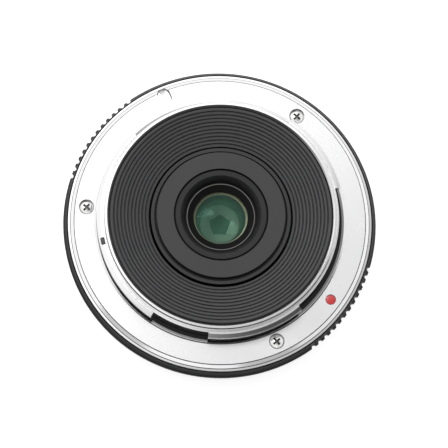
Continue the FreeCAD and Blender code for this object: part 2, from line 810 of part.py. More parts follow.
# Outer sleeve that slides in the guide tube, a web, and the core that holds the glass.
def lens_barrel():
    web_front = web_rear - web_thickness
    bore = rear_glass_radius + thread_fit
    ring_bore = lens_ring_radius + thread_fit
    front_bore = front_glass_radius + thread_fit
    mouth = front_element_radius + thread_fit
    body = turned(
        (sleeve_bore, sleeve_rear), (sleeve_radius, sleeve_rear),
        (sleeve_radius, -sleeve_front), (sleeve_bore, -sleeve_front),
        (sleeve_bore, web_front), (core_radius, web_front), (core_radius, core_front),
        (mouth, core_front), (mouth, front_element_rear), (front_bore, front_element_rear),
        (front_bore, land_front), (land_bore, land_front), (land_bore, land_rear),
        (bore, land_rear), (bore, rear_element_rear), (ring_bore, rear_element_rear),
        (ring_bore, core_rear), (core_radius, core_rear), (core_radius, web_rear),
        (sleeve_bore, web_rear))
    hole = Part.makeCylinder(pin_radius, sleeve_wall + 2 * overrun,
                             Vector(sleeve_bore - overrun, 0, -pin_depth),
                             Vector(1, 0, 0))
    return body.cut(pattern(hole, spaced(pin_count, pin_angle)))


# Each pin runs from the sleeve's bore through the guide tube's slot into the cam's slot.
def cam_pins():
    tip = cam_radius - running_fit
    pin = Part.makeCylinder(pin_radius, tip - sleeve_bore, Vector(sleeve_bore, 0, -pin_depth),
                            Vector(1, 0, 0))
    return pattern(pin, spaced(pin_count, pin_angle))


def rear_cell():
    return turned(
        (cone_ring_radius, sleeve_rear - cell_boss), (cell_fit_radius, sleeve_rear - cell_boss),
        (cell_fit_radius, sleeve_rear), (cell_radius, sleeve_rear),
        (cell_radius, cell_rear - cell_edge_chamfer),
        (cell_radius - cell_edge_chamfer, cell_rear),
        (cone_ring_radius + cell_bore_chamfer, cell_rear),
        (cone_ring_radius, cell_rear - cell_bore_chamfer))


def cone_ring():
    top = cell_rear - cone_ring_sink
    outer = cone_ring_radius - thread_fit
    step = outer - cone_ring_step_width
    return turned(
        (cone_throat, core_rear), (outer, core_rear), (outer, top - cone_ring_step_depth),
        (step, top - cone_ring_step_depth), (step, top), (cone_mouth, top),
        (cone_throat, top - cone_depth))


def rear_lens_ring():
    return turned(
        (lens_ring_bore, rear_element_rear), (lens_ring_radius, rear_element_rear),
        (lens_ring_radius, lens_ring_rear), (lens_ring_radius - lens_ring_wall, lens_ring_rear),
        (lens_ring_bore, rear_element_rear + lens_ring_land))


# Vertex and middle point of a spherical surface. Its rim is at the height rim, and it
# swells towards +z where way is 1 and towards -z where way is -1.
def cap(rim, curve, way, edge):
    vertex = rim + way * sag(curve, edge)
    return vertex, (edge / 2, vertex - way * sag(curve, edge / 2))


# Glass with a straight rim. Each side is (rim height, curve, way, radius of the surface).
def element(radius, front, rear):
    front_vertex, front_middle = cap(*front)
    rear_vertex, rear_middle = cap(*rear)
    return turned((radius, front[0]), (radius, rear[0]), (rear[3], rear[0]),
                  (rear_middle, (0, rear_vertex)), (0, front_vertex),
                  (front_middle, (front[3], front[0])))


def rear_element():
    return element(rear_glass_radius,
                   (rear_element_front, rear_element_front_curve, -1,
                    rear_glass_radius - spacer_wall),
                   (rear_element_rear, rear_element_back_curve, 1, lens_ring_bore))


# The two cemented doublets are a crown and a flint that share one surface.
def rear_doublet_join():
    rim = rear_doublet_rear - rear_doublet_crown_rim
    return (rim, rear_doublet_join_curve, -1, rear_glass_radius)


def rear_doublet_crown():
    return element(rear_glass_radius, rear_doublet_join(),
                   (rear_doublet_rear, rear_doublet_back_curve, 1, rear_glass_radius - spacer_wall))


def rear_doublet_flint():
    return element(rear_glass_radius,
                   (rear_doublet_front, rear_doublet_front_curve, 1, land_bore),
                   rear_doublet_join())


def front_doublet_join():
    rim = front_doublet_front + front_doublet_crown_rim
    return (rim, front_doublet_join_curve, 1, front_glass_radius)


def front_doublet_crown():
    edge = front_glass_radius - spacer_wall
    return element(front_glass_radius,
                   (front_doublet_front, front_doublet_front_curve, -1, edge),
                   front_doublet_join())


def front_doublet_flint():
    return element(front_glass_radius, front_doublet_join(),
                   (front_doublet_rear, front_doublet_back_curve, -1, land_bore))


def rear_spacer():
    return tube(rear_glass_radius, rear_glass_radius - spacer_wall, rear_doublet_rear,
                rear_element_front)


def front_spacer():
    return tube(front_glass_radius, front_glass_radius - spacer_wall, front_element_rear,
                front_doublet_front)


# Thin plate whose hole has straight sides, the fixed stop.
def aperture_plate():
    plate = cylinder(front_glass_radius, front_doublet_rear, land_front)
    corners = [at_angle(Part.Vertex(aperture_reach, 0, front_doublet_rear - overrun), angle).Point
               for angle in spaced(aperture_sides, aperture_turn)]
    outline = Part.makePolygon(corners + corners[:1])
    hole = Part.Face(outline).extrude(Vector(0, 0, aperture_thickness + 2 * overrun))
    return plate.cut(hole)


def front_element():
    mouth = front_element_radius - front_retainer_wall
    return element(front_element_radius,
                   (front_retainer_rear, front_element_front_curve, -1, mouth),
                   (front_element_rear, front_element_back_curve, -1, front_element_bowl))


def front_retainer():
    return tube(front_element_radius, front_element_radius - front_retainer_wall, core_front,
                front_retainer_rear)


# Front cone of the moving unit. Its boss fits in the sleeve, and its throat meets the core.
def front_bezel():
    front = -sleeve_front - bezel_thickness
    turn = bezel_edge_round
    corner = round_middle((bezel_radius - turn, front + turn), turn, -45)
    return turned(
        (bezel_throat, core_front), (bezel_mouth, front), (bezel_radius - turn, front),
        (corner, (bezel_radius, front + turn)), (bezel_radius, -sleeve_front),
        (sleeve_bore - thread_fit, -sleeve_front),
        (sleeve_bore - thread_fit, -sleeve_front + bezel_boss),
        (core_radius + thread_fit, -sleeve_front + bezel_boss),
        (core_radius + thread_fit, core_front))


parts = {
    "bayonet_mount": bayonet_mount, "mount_screws": mount_screws, "index_dot": index_dot,
    "lug_stop_key": lug_stop_key, "light_seal_ring": light_seal_ring,
    "mount_shim": mount_shim, "rear_baffle": rear_baffle, "main_barrel": main_barrel,
    "front_rim": front_rim, "face_plate": face_plate, "guide_tube": guide_tube,
    "guide_tube_screws": guide_tube_screws, "cam_retainer": cam_retainer,
    "cam_retainer_screws": cam_retainer_screws, "stop_pin": stop_pin,
    "friction_washer": friction_washer, "cam_ring": cam_ring, "focus_ring": focus_ring,
    "focus_ring_screws": focus_ring_screws, "focus_tab": focus_tab,
    "focus_tab_screws": focus_tab_screws, "lens_barrel": lens_barrel, "cam_pins": cam_pins,
    "rear_cell": rear_cell, "cone_ring": cone_ring, "rear_lens_ring": rear_lens_ring,
    "rear_element": rear_element, "rear_spacer": rear_spacer,
    "rear_doublet_crown": rear_doublet_crown, "rear_doublet_flint": rear_doublet_flint,
    "aperture_plate": aperture_plate, "front_doublet_flint": front_doublet_flint,
    "front_doublet_crown": front_doublet_crown, "front_spacer": front_spacer,
    "front_element": front_element, "front_retainer": front_retainer,
    "front_bezel": front_bezel,
}

os.makedirs("parts", exist_ok=True)
for name, make in parts.items():
    shape = make()
    if isinstance(shape, list):
        shape = Part.makeCompound(shape)
    shape.exportStep("parts/" + name + ".step")
    print(name, len(shape.Solids), "solids", round(shape.Volume, 2), "mm3", shape.isValid())
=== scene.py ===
import json
from math import acos, atan2, cos, pi, radians, sin, sqrt, tan

import bmesh
import bpy
import numpy as np
from mathutils import Matrix
from numpy.linalg import norm


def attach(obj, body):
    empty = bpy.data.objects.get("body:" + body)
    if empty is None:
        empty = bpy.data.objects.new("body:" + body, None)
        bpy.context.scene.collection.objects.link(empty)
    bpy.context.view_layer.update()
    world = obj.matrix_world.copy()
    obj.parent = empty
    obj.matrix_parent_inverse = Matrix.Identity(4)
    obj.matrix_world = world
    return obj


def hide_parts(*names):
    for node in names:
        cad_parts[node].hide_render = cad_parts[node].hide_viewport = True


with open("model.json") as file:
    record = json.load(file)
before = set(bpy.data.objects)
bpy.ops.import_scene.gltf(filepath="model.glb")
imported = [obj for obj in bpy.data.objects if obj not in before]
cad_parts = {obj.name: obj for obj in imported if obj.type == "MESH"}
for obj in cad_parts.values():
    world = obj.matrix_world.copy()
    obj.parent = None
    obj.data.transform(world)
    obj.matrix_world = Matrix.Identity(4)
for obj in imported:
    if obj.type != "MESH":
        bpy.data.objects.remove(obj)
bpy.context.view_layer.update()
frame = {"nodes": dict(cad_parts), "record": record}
nodes = frame["nodes"]
scene = bpy.context.scene
mm = 0.001
white = (1.0, 1.0, 1.0)
print("frame loaded:", len(nodes), "nodes")


# Meshes worked out with numpy.
# Outline of corners (r, z) or (r, z, rounding). A rounded corner becomes a short arc that touches
# both sides, with one more point just beyond each end to keep the flats flat in shading. The
# second result is 1 on outward corners and 0 elsewhere. An open outline keeps its two ends.
def roundedOutline(corners, rounding=0.03, steps=3, closed=True):
    mostOfSide, beyond, nearlyFlat = 0.4, 0.3, radians(88)
    pts = np.array([c[:2] for c in corners], float)
    sizes = [c[2] if len(c) > 2 else rounding for c in corners]
    after = np.roll(pts, -1, 0)
    if closed and np.sum(pts[:, 0] * after[:, 1] - after[:, 0] * pts[:, 1]) < 0:
        pts, sizes = pts[::-1], sizes[::-1]
    out, edge = [], []
    count = len(pts)
    for i, here in enumerate(pts):
        back, ahead = pts[i - 1] - here, pts[(i + 1) % count] - here
        lengthBack, lengthAhead = norm(back), norm(ahead)
        back, ahead = back / lengthBack, ahead / lengthAhead
        half = acos(np.clip(back @ ahead, -1, 1)) / 2
        outward = float(back[0] * ahead[1] - back[1] * ahead[0] < 0)
        reach = min(sizes[i] / max(tan(half), 1e-6), lengthBack * mostOfSide,
                    lengthAhead * mostOfSide)
        if reach < 1e-5 or half > nearlyFlat or (not closed and i in (0, count - 1)):
            out.append(here)
            edge.append(0.0)
            continue
        radius = reach * tan(half)
        middle = here + (back + ahead) / norm(back + ahead) * radius / sin(half)
        start, end = here + back * reach, here + ahead * reach
        a0 = atan2(*(start - middle)[::-1])
        sweep = (atan2(*(end - middle)[::-1]) - a0 + pi) % (2 * pi) - pi
        arc = a0 + sweep * np.linspace(0, 1, steps + 1)
        ring = middle + radius * np.stack([np.cos(arc), np.sin(arc)], 1)
        out += [start + back * reach * beyond, *ring, end + ahead * reach * beyond]
        edge += [0.0] + [outward] * (steps + 1) + [0.0]
    return np.array(out), np.array(edge)


def writeMark(mesh, label, values, kind="POINT"):
    layer = mesh.attributes.new(label, "FLOAT", kind)
    layer.data.foreach_set("value", values.astype(np.float32))


def readPoints(items, key="co"):
    co = np.empty(len(items) * 3)
    items.foreach_get(key, co)
    return co.reshape(-1, 3)


def movePoints(mesh, co):
    mesh.vertices.foreach_set("co", co.ravel())
    mesh.update()
    return mesh


# Mesh from a grid of points; each square of the grid is one face. wrapU and wrapV join the ends.
def gridMesh(points, wrapU=True, wrapV=True, edge=None, merge=False, flip=False):
    countU, countV = points.shape[:2]
    u = np.arange(countU if wrapU else countU - 1)
    v = np.arange(countV if wrapV else countV - 1)
    u, v = np.meshgrid(u, v, indexing="ij")
    u2, v2 = (u + 1) % countU, (v + 1) % countV
    quads = np.stack([u * countV + v, u2 * countV + v, u2 * countV + v2, u * countV + v2], -1)
    quads = quads.reshape(-1, 4)[:, ::-1] if flip else quads.reshape(-1, 4)
    mesh = bpy.data.meshes.new("fine")
    mesh.from_pydata(points.reshape(-1, 3).tolist(), [], quads.tolist())
    if edge is not None:
        writeMark(mesh, "edge", np.broadcast_to(edge, (countU, countV)).ravel())
    if merge:
        cleanMesh(mesh)
    return mesh


def backToMesh(work, mesh):
    work.to_mesh(mesh)
    work.free()
    return mesh


# Merges the points of poles and seams.
def cleanMesh(mesh, distance=1e-7):
    work = bmesh.new()
    work.from_mesh(mesh)
    bmesh.ops.remove_doubles(work, verts=work.verts, dist=distance)
    bmesh.ops.dissolve_degenerate(work, edges=work.edges, dist=distance)
    backToMesh(work, mesh)


# Closes a mesh's open ends: each ring of point numbers becomes one face.
def addCaps(mesh, rings, recalculate=False):
    work = bmesh.new()
    work.from_mesh(mesh)
    work.verts.ensure_lookup_table()
    for ring in rings:
        work.faces.new([work.verts[i] for i in ring])
    if recalculate:
        bmesh.ops.recalc_face_normals(work, faces=work.faces)
    return backToMesh(work, mesh)


def linkObject(name, data):
    thing = bpy.data.objects.new(name, data)
    scene.collection.objects.link(thing)
    return thing


def addPiece(name, mesh, body, material, replaced=(), sharp=32):
    mesh.name = name
    mesh.polygons.foreach_set("use_smooth", np.ones(len(mesh.polygons), bool))
    mesh.set_sharp_from_angle(angle=radians(sharp))
    piece = linkObject(name, mesh)
    mesh.materials.clear()
    mesh.materials.append(material)
    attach(piece, body)
    if replaced:
        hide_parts(*replaced)


# Every outline point (r, z) at every angle a, at r cos a, r sin a, z.
def turnOutline(outline, angle):
    angle = angle[:, None]
    r, z = outline[None, :, 0] * mm, outline[None, :, 1] * mm
    return np.stack([r * np.cos(angle), r * np.sin(angle), z + 0 * angle], -1)


# Surface of revolution: the outline goes the whole way round the axis.
def latheMesh(outline, segments, edge=None, closed=False):
    angle = np.linspace(0, 2 * np.pi, segments, endpoint=False)
    points = turnOutline(np.array(outline), angle)
    return gridMesh(points, True, closed, edge, merge=not closed)


def turnedMesh(corners, rounding=0.03, steps=3, segments=256):
    outline, edge = roundedOutline(corners, rounding, steps)
    return latheMesh(outline, segments, edge, True)


# Closed outline swept round part of a circle, from angle a0 to a1 in degrees, with flat ends.
def sectorMesh(corners, a0, a1, rounding=0.04, steps=3, segments=48):
    outline, edge = roundedOutline(corners, rounding, steps)
    points = turnOutline(outline, np.radians(np.linspace(a0, a1, segments)))
    count = len(outline)
    return addCaps(gridMesh(points, False, True, edge),
                   [range(count)[::-1], range((segments - 1) * count, segments * count)])


def joinMeshes(meshes):
    work = bmesh.new()
    for mesh in meshes:
        work.from_mesh(mesh)
    return backToMesh(work, bpy.data.meshes.new("fine"))


def turnPoints(co, degrees):
    s, c = sin(radians(degrees)), cos(radians(degrees))
    return co @ np.array([[c, s, 0], [-s, c, 0], [0, 0, 1]])


# Turns a mesh drawn round the origin by spin, faces it to the front if asked, moves it out by
# place along X and up to height, then round the axis to angle.
def placeMesh(mesh, place, height, angle, spin=0.0, front=False):
    co = turnPoints(readPoints(mesh.vertices), spin)
    if front:
        co = co * [1, -1, -1]
    return movePoints(mesh, turnPoints(co + [place * mm, 0, height * mm], angle))


# Mesh of the first object with its modifiers or text worked out. The objects go.
def finalMesh(*things):
    bpy.context.view_layer.update()
    graph = bpy.context.evaluated_depsgraph_get()
    mesh = bpy.data.meshes.new_from_object(things[0].evaluated_get(graph))
    for thing in things:
        bpy.data.objects.remove(thing)
    return mesh


# Result of cutting a closed mesh by others, or of joining them to it.
def booleanMesh(mesh, others, operation="DIFFERENCE"):
    base, tool = linkObject("base", mesh), linkObject("tool", joinMeshes(others))
    modifier = base.modifiers.new("cut", "BOOLEAN")
    modifier.operation = operation
    modifier.solver = "EXACT"
    modifier.object = tool
    return finalMesh(base, tool)


# Nodes. Inputs go by name or number: an output is linked, a number or colour is set.
def feed(tree, node, inputs):
    for key, value in inputs.items():
        if isinstance(value, bpy.types.NodeSocket):
            tree.links.new(value, node.inputs[key])
        else:
            node.inputs[key].default_value = (*value, 1.0) if isinstance(value, tuple) else value
    return node


def addNode(tree, kind, inputs={}, **settings):
    node = tree.nodes.new("ShaderNode" + kind)
    for key, value in settings.items():
        setattr(node, key, value)
    return feed(tree, node, inputs)


def calc(tree, operation, *values):
    return addNode(tree, "Math", dict(enumerate(values)), operation=operation).outputs[0]


# Node that reads the piece's own coordinates.
def placedNode(tree, kind, inputs={}, **settings):
    place = addNode(tree, "TexCoord")
    return addNode(tree, kind, {"Vector": place.outputs["Object"], **inputs}, **settings)


def marked(tree, label):
    return addNode(tree, "Attribute", attribute_name=label).outputs["Fac"]


# Soft step of a value between two limits, from the first level to the second.
def softStep(tree, value, low, high, first=0.0, second=1.0, kind="SMOOTHSTEP"):
    return addNode(tree, "MapRange",
                   {"Value": value, "From Min": low, "From Max": high, "To Min": first,
                    "To Max": second}, interpolation_type=kind).outputs[0]


# Effects shared by the finishes. Each function gets its group and inputs, and returns the output.
# Fine lines left by a lathe tool: noise of the distance from the axis plus the height, so they
# run round the part on flat and upright faces alike.
def turnedLines(group, lines, detail):
    x, y, z = placedNode(group, "SeparateXYZ").outputs
    square = calc(group, "ADD", calc(group, "POWER", x, 2.0), calc(group, "POWER", y, 2.0))
    across = calc(group, "ADD", calc(group, "SQRT", square), calc(group, "MULTIPLY", z, 0.83))
    place = calc(group, "MULTIPLY", across, lines)
    return addNode(group, "TexNoise", {"W": place, "Scale": 1.0, "Detail": detail},
                   noise_dimensions="1D").outputs[0]


# Slow unevenness, such as handling marks and uneven polish, as a value round 0.5.
def slowSmudge(group, scale, contrast):
    noise = placedNode(group, "TexNoise", {"Scale": scale, "Detail": 4.0, "Distortion": 0.6})
    level = calc(group, "SUBTRACT", noise.outputs[0], 0.5)
    return calc(group, "MULTIPLY_ADD", level, contrast, 0.5)


# Bead-blasted or moulded grain: the distance to scattered points, softened by noise.
def fineGrain(group, scale):
    cells = placedNode(group, "TexVoronoi", {"Scale": scale, "Smoothness": 0.8},
                       feature="SMOOTH_F1")
    noise = placedNode(group, "TexNoise",
                       {"Scale": calc(group, "MULTIPLY", scale, 0.45), "Detail": 3.0})
    return calc(group, "ADD", calc(group, "MULTIPLY", cells.outputs["Distance"], 0.6),
                calc(group, "MULTIPLY", noise.outputs[0], 0.5))


# Worn edges: the mesh's own edge value, broken up by noise.
def edgeWear(group, scale, amount):
    noise = placedNode(group, "TexNoise", {"Scale": scale, "Detail": 5.0})
    spots = softStep(group, noise.outputs[0], 0.46, 0.66)
    worn = calc(group, "MULTIPLY", spots, marked(group, "edge"))
    return calc(group, "MULTIPLY", worn, amount)


# Fine dust: a small soft speck in the middle of a few cells.
def dustSpecks(group, scale, amount):
    cells = placedNode(group, "TexVoronoi", {"Scale": scale})
    speck = softStep(group, cells.outputs["Distance"], 0.13, 0.04)
    apart = addNode(group, "SeparateColor", {0: cells.outputs["Color"]})
    few = calc(group, "GREATER_THAN", apart.outputs[0], 0.86)
    return calc(group, "MULTIPLY", calc(group, "MULTIPLY", speck, few), amount)


# Painted shade low on a wall or groove: 1 under the lower height, 0 over the upper one.
def depthShade(group, low, high):
    height = placedNode(group, "SeparateXYZ").outputs[2]
    return softStep(group, height, low, high, 1.0, 0.0)


def makeGroup(effect, output, inputs):
    group = bpy.data.node_groups.new(effect.__name__, "ShaderNodeTree")
    kind = "NodeSocketFloat"
    for label, value in inputs.items():
        socket = group.interface.new_socket(name=label, in_out="INPUT", socket_type=kind)
        socket.default_value = value
    group.interface.new_socket(name=output, in_out="OUTPUT", socket_type=kind)
    start = group.nodes.new("NodeGroupInput")
    result = effect(group, *[start.outputs[label] for label in inputs])
    feed(group, group.nodes.new("NodeGroupOutput"), {0: result})
    return group


groups = {
    "turned": makeGroup(turnedLines, "Height", {"Lines": 9000.0, "Detail": 3.0}),
    "smudge": makeGroup(slowSmudge, "Value", {"Scale": 120.0, "Contrast": 1.0}),
    "grain": makeGroup(fineGrain, "Height", {"Scale": 4000.0}),
    "wear": makeGroup(edgeWear, "Mask", {"Scale": 900.0, "Amount": 0.5}),
    "dust": makeGroup(dustSpecks, "Mask", {"Scale": 700.0, "Amount": 0.4}),
    "depth": makeGroup(depthShade, "Mask", {"Low": 0.0, "High": 0.001}),
}
print("effect groups made:", len(groups))


# Finishes. A group takes its inputs in the order above.
def useGroup(tree, name, *values):
    return addNode(tree, "Group", dict(enumerate(values)), node_tree=groups[name]).outputs[0]


def mixColour(tree, factor, first, second):
    return addNode(tree, "Mix", {"Factor": factor, 6: first, 7: second},
                   data_type="RGBA").outputs[2]


def rangeValue(tree, value, low, high):
    return calc(tree, "MULTIPLY_ADD", value, high - low, low)


def times(colour, share):
    return tuple(c * share for c in colour)


# Normal after a row of bumps, each a height, a strength and a depth in metres.
def bumpNormal(tree, *bumps):
    normal = None
    for height, strength, distance in bumps:
        bump = addNode(tree, "Bump", {"Height": height, "Strength": strength,
                                      "Distance": distance})
        if normal:
            tree.links.new(normal, bump.inputs["Normal"])
        normal = bump.outputs[0]
    return normal


def newMaterial(name, colour, metallic, roughness):
    material = bpy.data.materials.new(name)
    material.use_nodes = True
    tree = material.node_tree
    shader = feed(tree, tree.nodes["Principled BSDF"],
                  {"Base Color": colour, "Metallic": metallic, "Roughness": roughness})
    return material, tree, shader


# Bright metal: uneven polish in its roughness, lathe lines in its bump, duller worn edges. polish
# is its roughness and how much that rises, lines their number per metre and depth. It may take
# painted shade, a darker colour, where the mesh is marked deep, and be rougher where it
# is marked satin.
def metalFinish(name, colour, dull, polish, lines, smudgeScale=90.0, deep=None, satin=None):
    material, tree, shader = newMaterial(name, colour, 1.0, polish[0])
    smudge = useGroup(tree, "smudge", smudgeScale, 1.4)
    wear = useGroup(tree, "wear", 1500.0, 0.5)
    paint = mixColour(tree, wear, mixColour(tree, smudge, colour, times(colour, 0.96)), dull)
    if deep:
        paint = mixColour(tree, marked(tree, "deep"), paint, deep)
    rough = calc(tree, "ADD", rangeValue(tree, smudge, polish[0], polish[0] + polish[1]),
                 calc(tree, "MULTIPLY", wear, 0.15))
    if satin:
        rough = calc(tree, "MULTIPLY_ADD", marked(tree, "satin"), satin, rough)
    turned = useGroup(tree, "turned", lines[0])
    feed(tree, shader, {"Base Color": paint, "Roughness": rough,
                        "Normal": bumpNormal(tree, (turned, 0.35, lines[1]))})
    return material


blackMetal = {"bare": (0.30, 0.30, 0.31), "dust": (0.34, 0.33, 0.32), "rim": (0.20, 0.195, 0.19),
              "shade": (0.004, 0.004, 0.004), "spread": 0.06, "bump": 0.5}


# Black anodised or painted metal: fine grain, faint dust, and bare metal at worn edges. grain and
# lines are each a number per metre and a depth. It may take painted shade under a height, take a
# painted shading colour where the mesh is marked deep (painted shade on the cone, painted
# light in the baffle's groove roots and a painted sheen on the barrel's bevel), and be bare where
# it is marked rim.
def blackFinish(name, colour, roughness, grain, lines=None, wear=0.12, dust=0.10, specular=0.5,
                shade=None, deep=None, rim=False):
    b = blackMetal
    material, tree, shader = newMaterial(name, colour, 0.0, roughness)
    smudge = useGroup(tree, "smudge", 70.0, 1.3)
    metal = useGroup(tree, "wear", 1100.0, wear)
    specks = useGroup(tree, "dust", 650.0, dust)
    paint = mixColour(tree, smudge, times(colour, 0.85), times(colour, 1.15))
    paint = mixColour(tree, specks, mixColour(tree, metal, paint, b["bare"]), b["dust"])
    if shade:
        low = useGroup(tree, "depth", shade[0] * mm, shade[1] * mm)
        paint = mixColour(tree, low, paint, b["shade"])
    if deep:
        paint = mixColour(tree, marked(tree, "deep"), paint, deep)
    if rim:
        mark = marked(tree, "rim")
        paint = mixColour(tree, mark, paint, b["rim"])
        metal = calc(tree, "MAXIMUM", metal, mark)
    bumps = [(useGroup(tree, "grain", grain[0]), b["bump"], grain[1])]
    if lines:
        bumps.append((useGroup(tree, "turned", lines[0]), b["bump"], lines[1]))
    rough = rangeValue(tree, smudge, roughness - b["spread"], roughness + b["spread"])
    feed(tree, shader, {"Base Color": paint, "Roughness": rough, "Metallic": metal,
                        "Specular IOR Level": specular, "Normal": bumpNormal(tree, *bumps)})
    return material


# Lacquer in a small recess: a deep colour, a clear coat and a slightly uneven surface. It takes
# painted shade, a darker colour, where the mesh is marked deep.
def enamelFinish(name, colour, dark, rim):
    material, tree, shader = newMaterial(name, colour, 0.0, 0.35)
    smudge = useGroup(tree, "smudge", 900.0, 1.0)
    paint = mixColour(tree, marked(tree, "deep"), mixColour(tree, smudge, dark, colour), rim)
    feed(tree, shader, {"Base Color": paint, "Coat Weight": 1.0, "Coat Roughness": 0.05,
                        "Normal": bumpNormal(tree, (smudge, 0.25, 4e-5))})
    return material


# Rubber or felt: very rough, with a soft grain.
def rubberFinish(name, colour):
    material, tree, shader = newMaterial(name, colour, 0.0, 0.85)
    grain = useGroup(tree, "grain", 2600.0)
    feed(tree, shader, {"Base Color": mixColour(tree, grain, times(colour, 0.7),
                                                times(colour, 1.4)),
                        "Normal": bumpNormal(tree, (grain, 0.7, 3e-5))})
    return material


# Lens glass. Its coating dims and tints what it mirrors, and faint wiping marks uneven its shine.
def glassFinish(name, colour, sheen, index):
    material, tree, shader = newMaterial(name, colour, 0.0, 0.0)
    smudge = useGroup(tree, "smudge", 160.0, 1.2)
    feed(tree, shader, {"Transmission Weight": 1.0, "IOR": index, "Specular Tint": sheen,
                        "Base Color": mixColour(tree, smudge, times(colour, 0.94), colour),
                        "Roughness": rangeValue(tree, smudge, 0.0, 0.02)})
    return material


# Thin white paint with a faint grain, for numbers and lines.
def paintFinish(name, colour):
    material, tree, shader = newMaterial(name, colour, 0.0, 0.5)
    smudge = useGroup(tree, "smudge", 500.0, 1.2)
    grain = useGroup(tree, "grain", 6000.0)
    feed(tree, shader, {"Base Color": mixColour(tree, smudge, times(colour, 0.85), colour),
                        "Normal": bumpNormal(tree, (grain, 0.3, 4e-6))})
    return material


cellGrain = (5200.0, 8e-6), (6500.0, 6e-6)
finishes = {
    # The mount's darker deep colour is painted shade in its lines and recesses.
    "chrome_mount": metalFinish("mountChrome", (0.93, 0.93, 0.935), (0.70, 0.68, 0.66),
                                (0.06, 0.09), (16000.0, 1.2e-6),
                                deep=(0.06, 0.06, 0.06), satin=0.16),
    # The screws' darker deep colour is painted shade in their cross recesses.
    "screw_steel": metalFinish("screwNickel", (0.86, 0.86, 0.85), (0.55, 0.53, 0.50),
                               (0.14, 0.10), (30000.0, 1.5e-6), smudgeScale=700.0,
                               deep=(0.12, 0.118, 0.116)),
    # The red dot's darker rim colour is painted shade at its edge.
    "red_enamel": enamelFinish("indexRed", (0.82, 0.030, 0.026), (0.66, 0.018, 0.018),
                               (0.26, 0.008, 0.010)),
    "dark_steel": metalFinish("stopSteel", (0.10, 0.10, 0.11), (0.25, 0.25, 0.25),
                              (0.38, 0.12), (20000.0, 2e-6), smudgeScale=500.0),
    "black_seal": rubberFinish("sealBlack", (0.012, 0.012, 0.012)),
    "shim_steel": metalFinish("shimSteel", (0.62, 0.61, 0.59), (0.45, 0.44, 0.42),
                              (0.30, 0.15), (9000.0, 2e-6)),
    # The baffle's paler deep colour is painted light in its groove roots.
    "baffle_black": blackFinish("baffleAnodised", (0.050, 0.050, 0.052), 0.48,
                                (5200.0, 1e-5), (7000.0, 1e-5), wear=0.05,
                                deep=(0.14, 0.14, 0.145)),
    # The barrel's paler deep colour is a painted sheen on its bevel.
    "barrel_black": blackFinish("barrelAnodised", (0.007, 0.007, 0.0075), 0.30,
                                (4200.0, 8e-6), specular=0.08, deep=(0.066, 0.066, 0.067)),
    "plate_black": blackFinish("plateAnodised", (0.020, 0.020, 0.021), 0.38,
                               (4600.0, 1e-5), (5200.0, 8e-6), wear=0.10),
    "focus_black": blackFinish("focusAnodised", (0.026, 0.026, 0.027), 0.32,
                               (4200.0, 8e-6), (8000.0, 6e-6), wear=0.22),
    "cell_black": blackFinish("cellAnodised", (0.034, 0.034, 0.036), 0.46, *cellGrain, wear=0.06),
    "inner_black": blackFinish("innerBlack", (0.010, 0.010, 0.011), 0.62, (5000.0, 1.2e-5),
                               wear=0.0, dust=0.04),
    "cam_brass": metalFinish("camBrass", (0.72, 0.52, 0.24), (0.50, 0.38, 0.20),
                             (0.24, 0.14), (12000.0, 3e-6)),
    "coated_glass": glassFinish("coatedGlass", (0.86, 0.94, 0.89), (0.24, 0.48, 0.37), 1.52),
    "clear_glass": glassFinish("clearGlass", (0.90, 0.95, 0.91), (0.24, 0.60, 0.42), 1.36),
}

slotOf = {part["node"]: part["material_slot"] for part in frame["record"]["subparts"]}
for node, slot in slotOf.items():
    nodes[node].data.materials.clear()
    nodes[node].data.materials.append(finishes[slot])
# The guide tube is darker below 3.86 mm: painted shade.
nodes["guide_tube"].data.materials[0] = blackFinish(
    "guideAnodised", (0.030, 0.030, 0.031), 0.46, *cellGrain, wear=0.0, shade=(3.70, 3.86))
print("finishes made:", len(finishes))


# Marks the points of a turned piece. Each box is a range of radius, a range of height and the
# level that its points get. A slope measures the heights from a cone that meets them at start.
def markPoints(mesh, label, boxes, slope=0.0, start=0.0):
    x, y, z = readPoints(mesh.vertices).T / mm
    r = np.hypot(x, y)
    z = z + (start - r) * slope
    writeMark(mesh, label, sum(level * ((r > r0) & (r < r1) & (z > z0) & (z < z1))
                               for r0, r1, z0, z1, level in boxes))


# Shows a finer mesh in place of a CAD node, with its slot: bayonet_mount by bayonetMountFine.
def finePiece(node, mesh, body, material=None, sharp=32):
    first, *words = node.split("_")
    name = first + "".join(word.capitalize() for word in words) + "Fine"
    slot = slotOf[node]
    addPiece(name, mesh, body, material or finishes[slot], (node,), sharp)


def ringPiece(node, body, corners):
    finePiece(node, turnedMesh(corners), body)
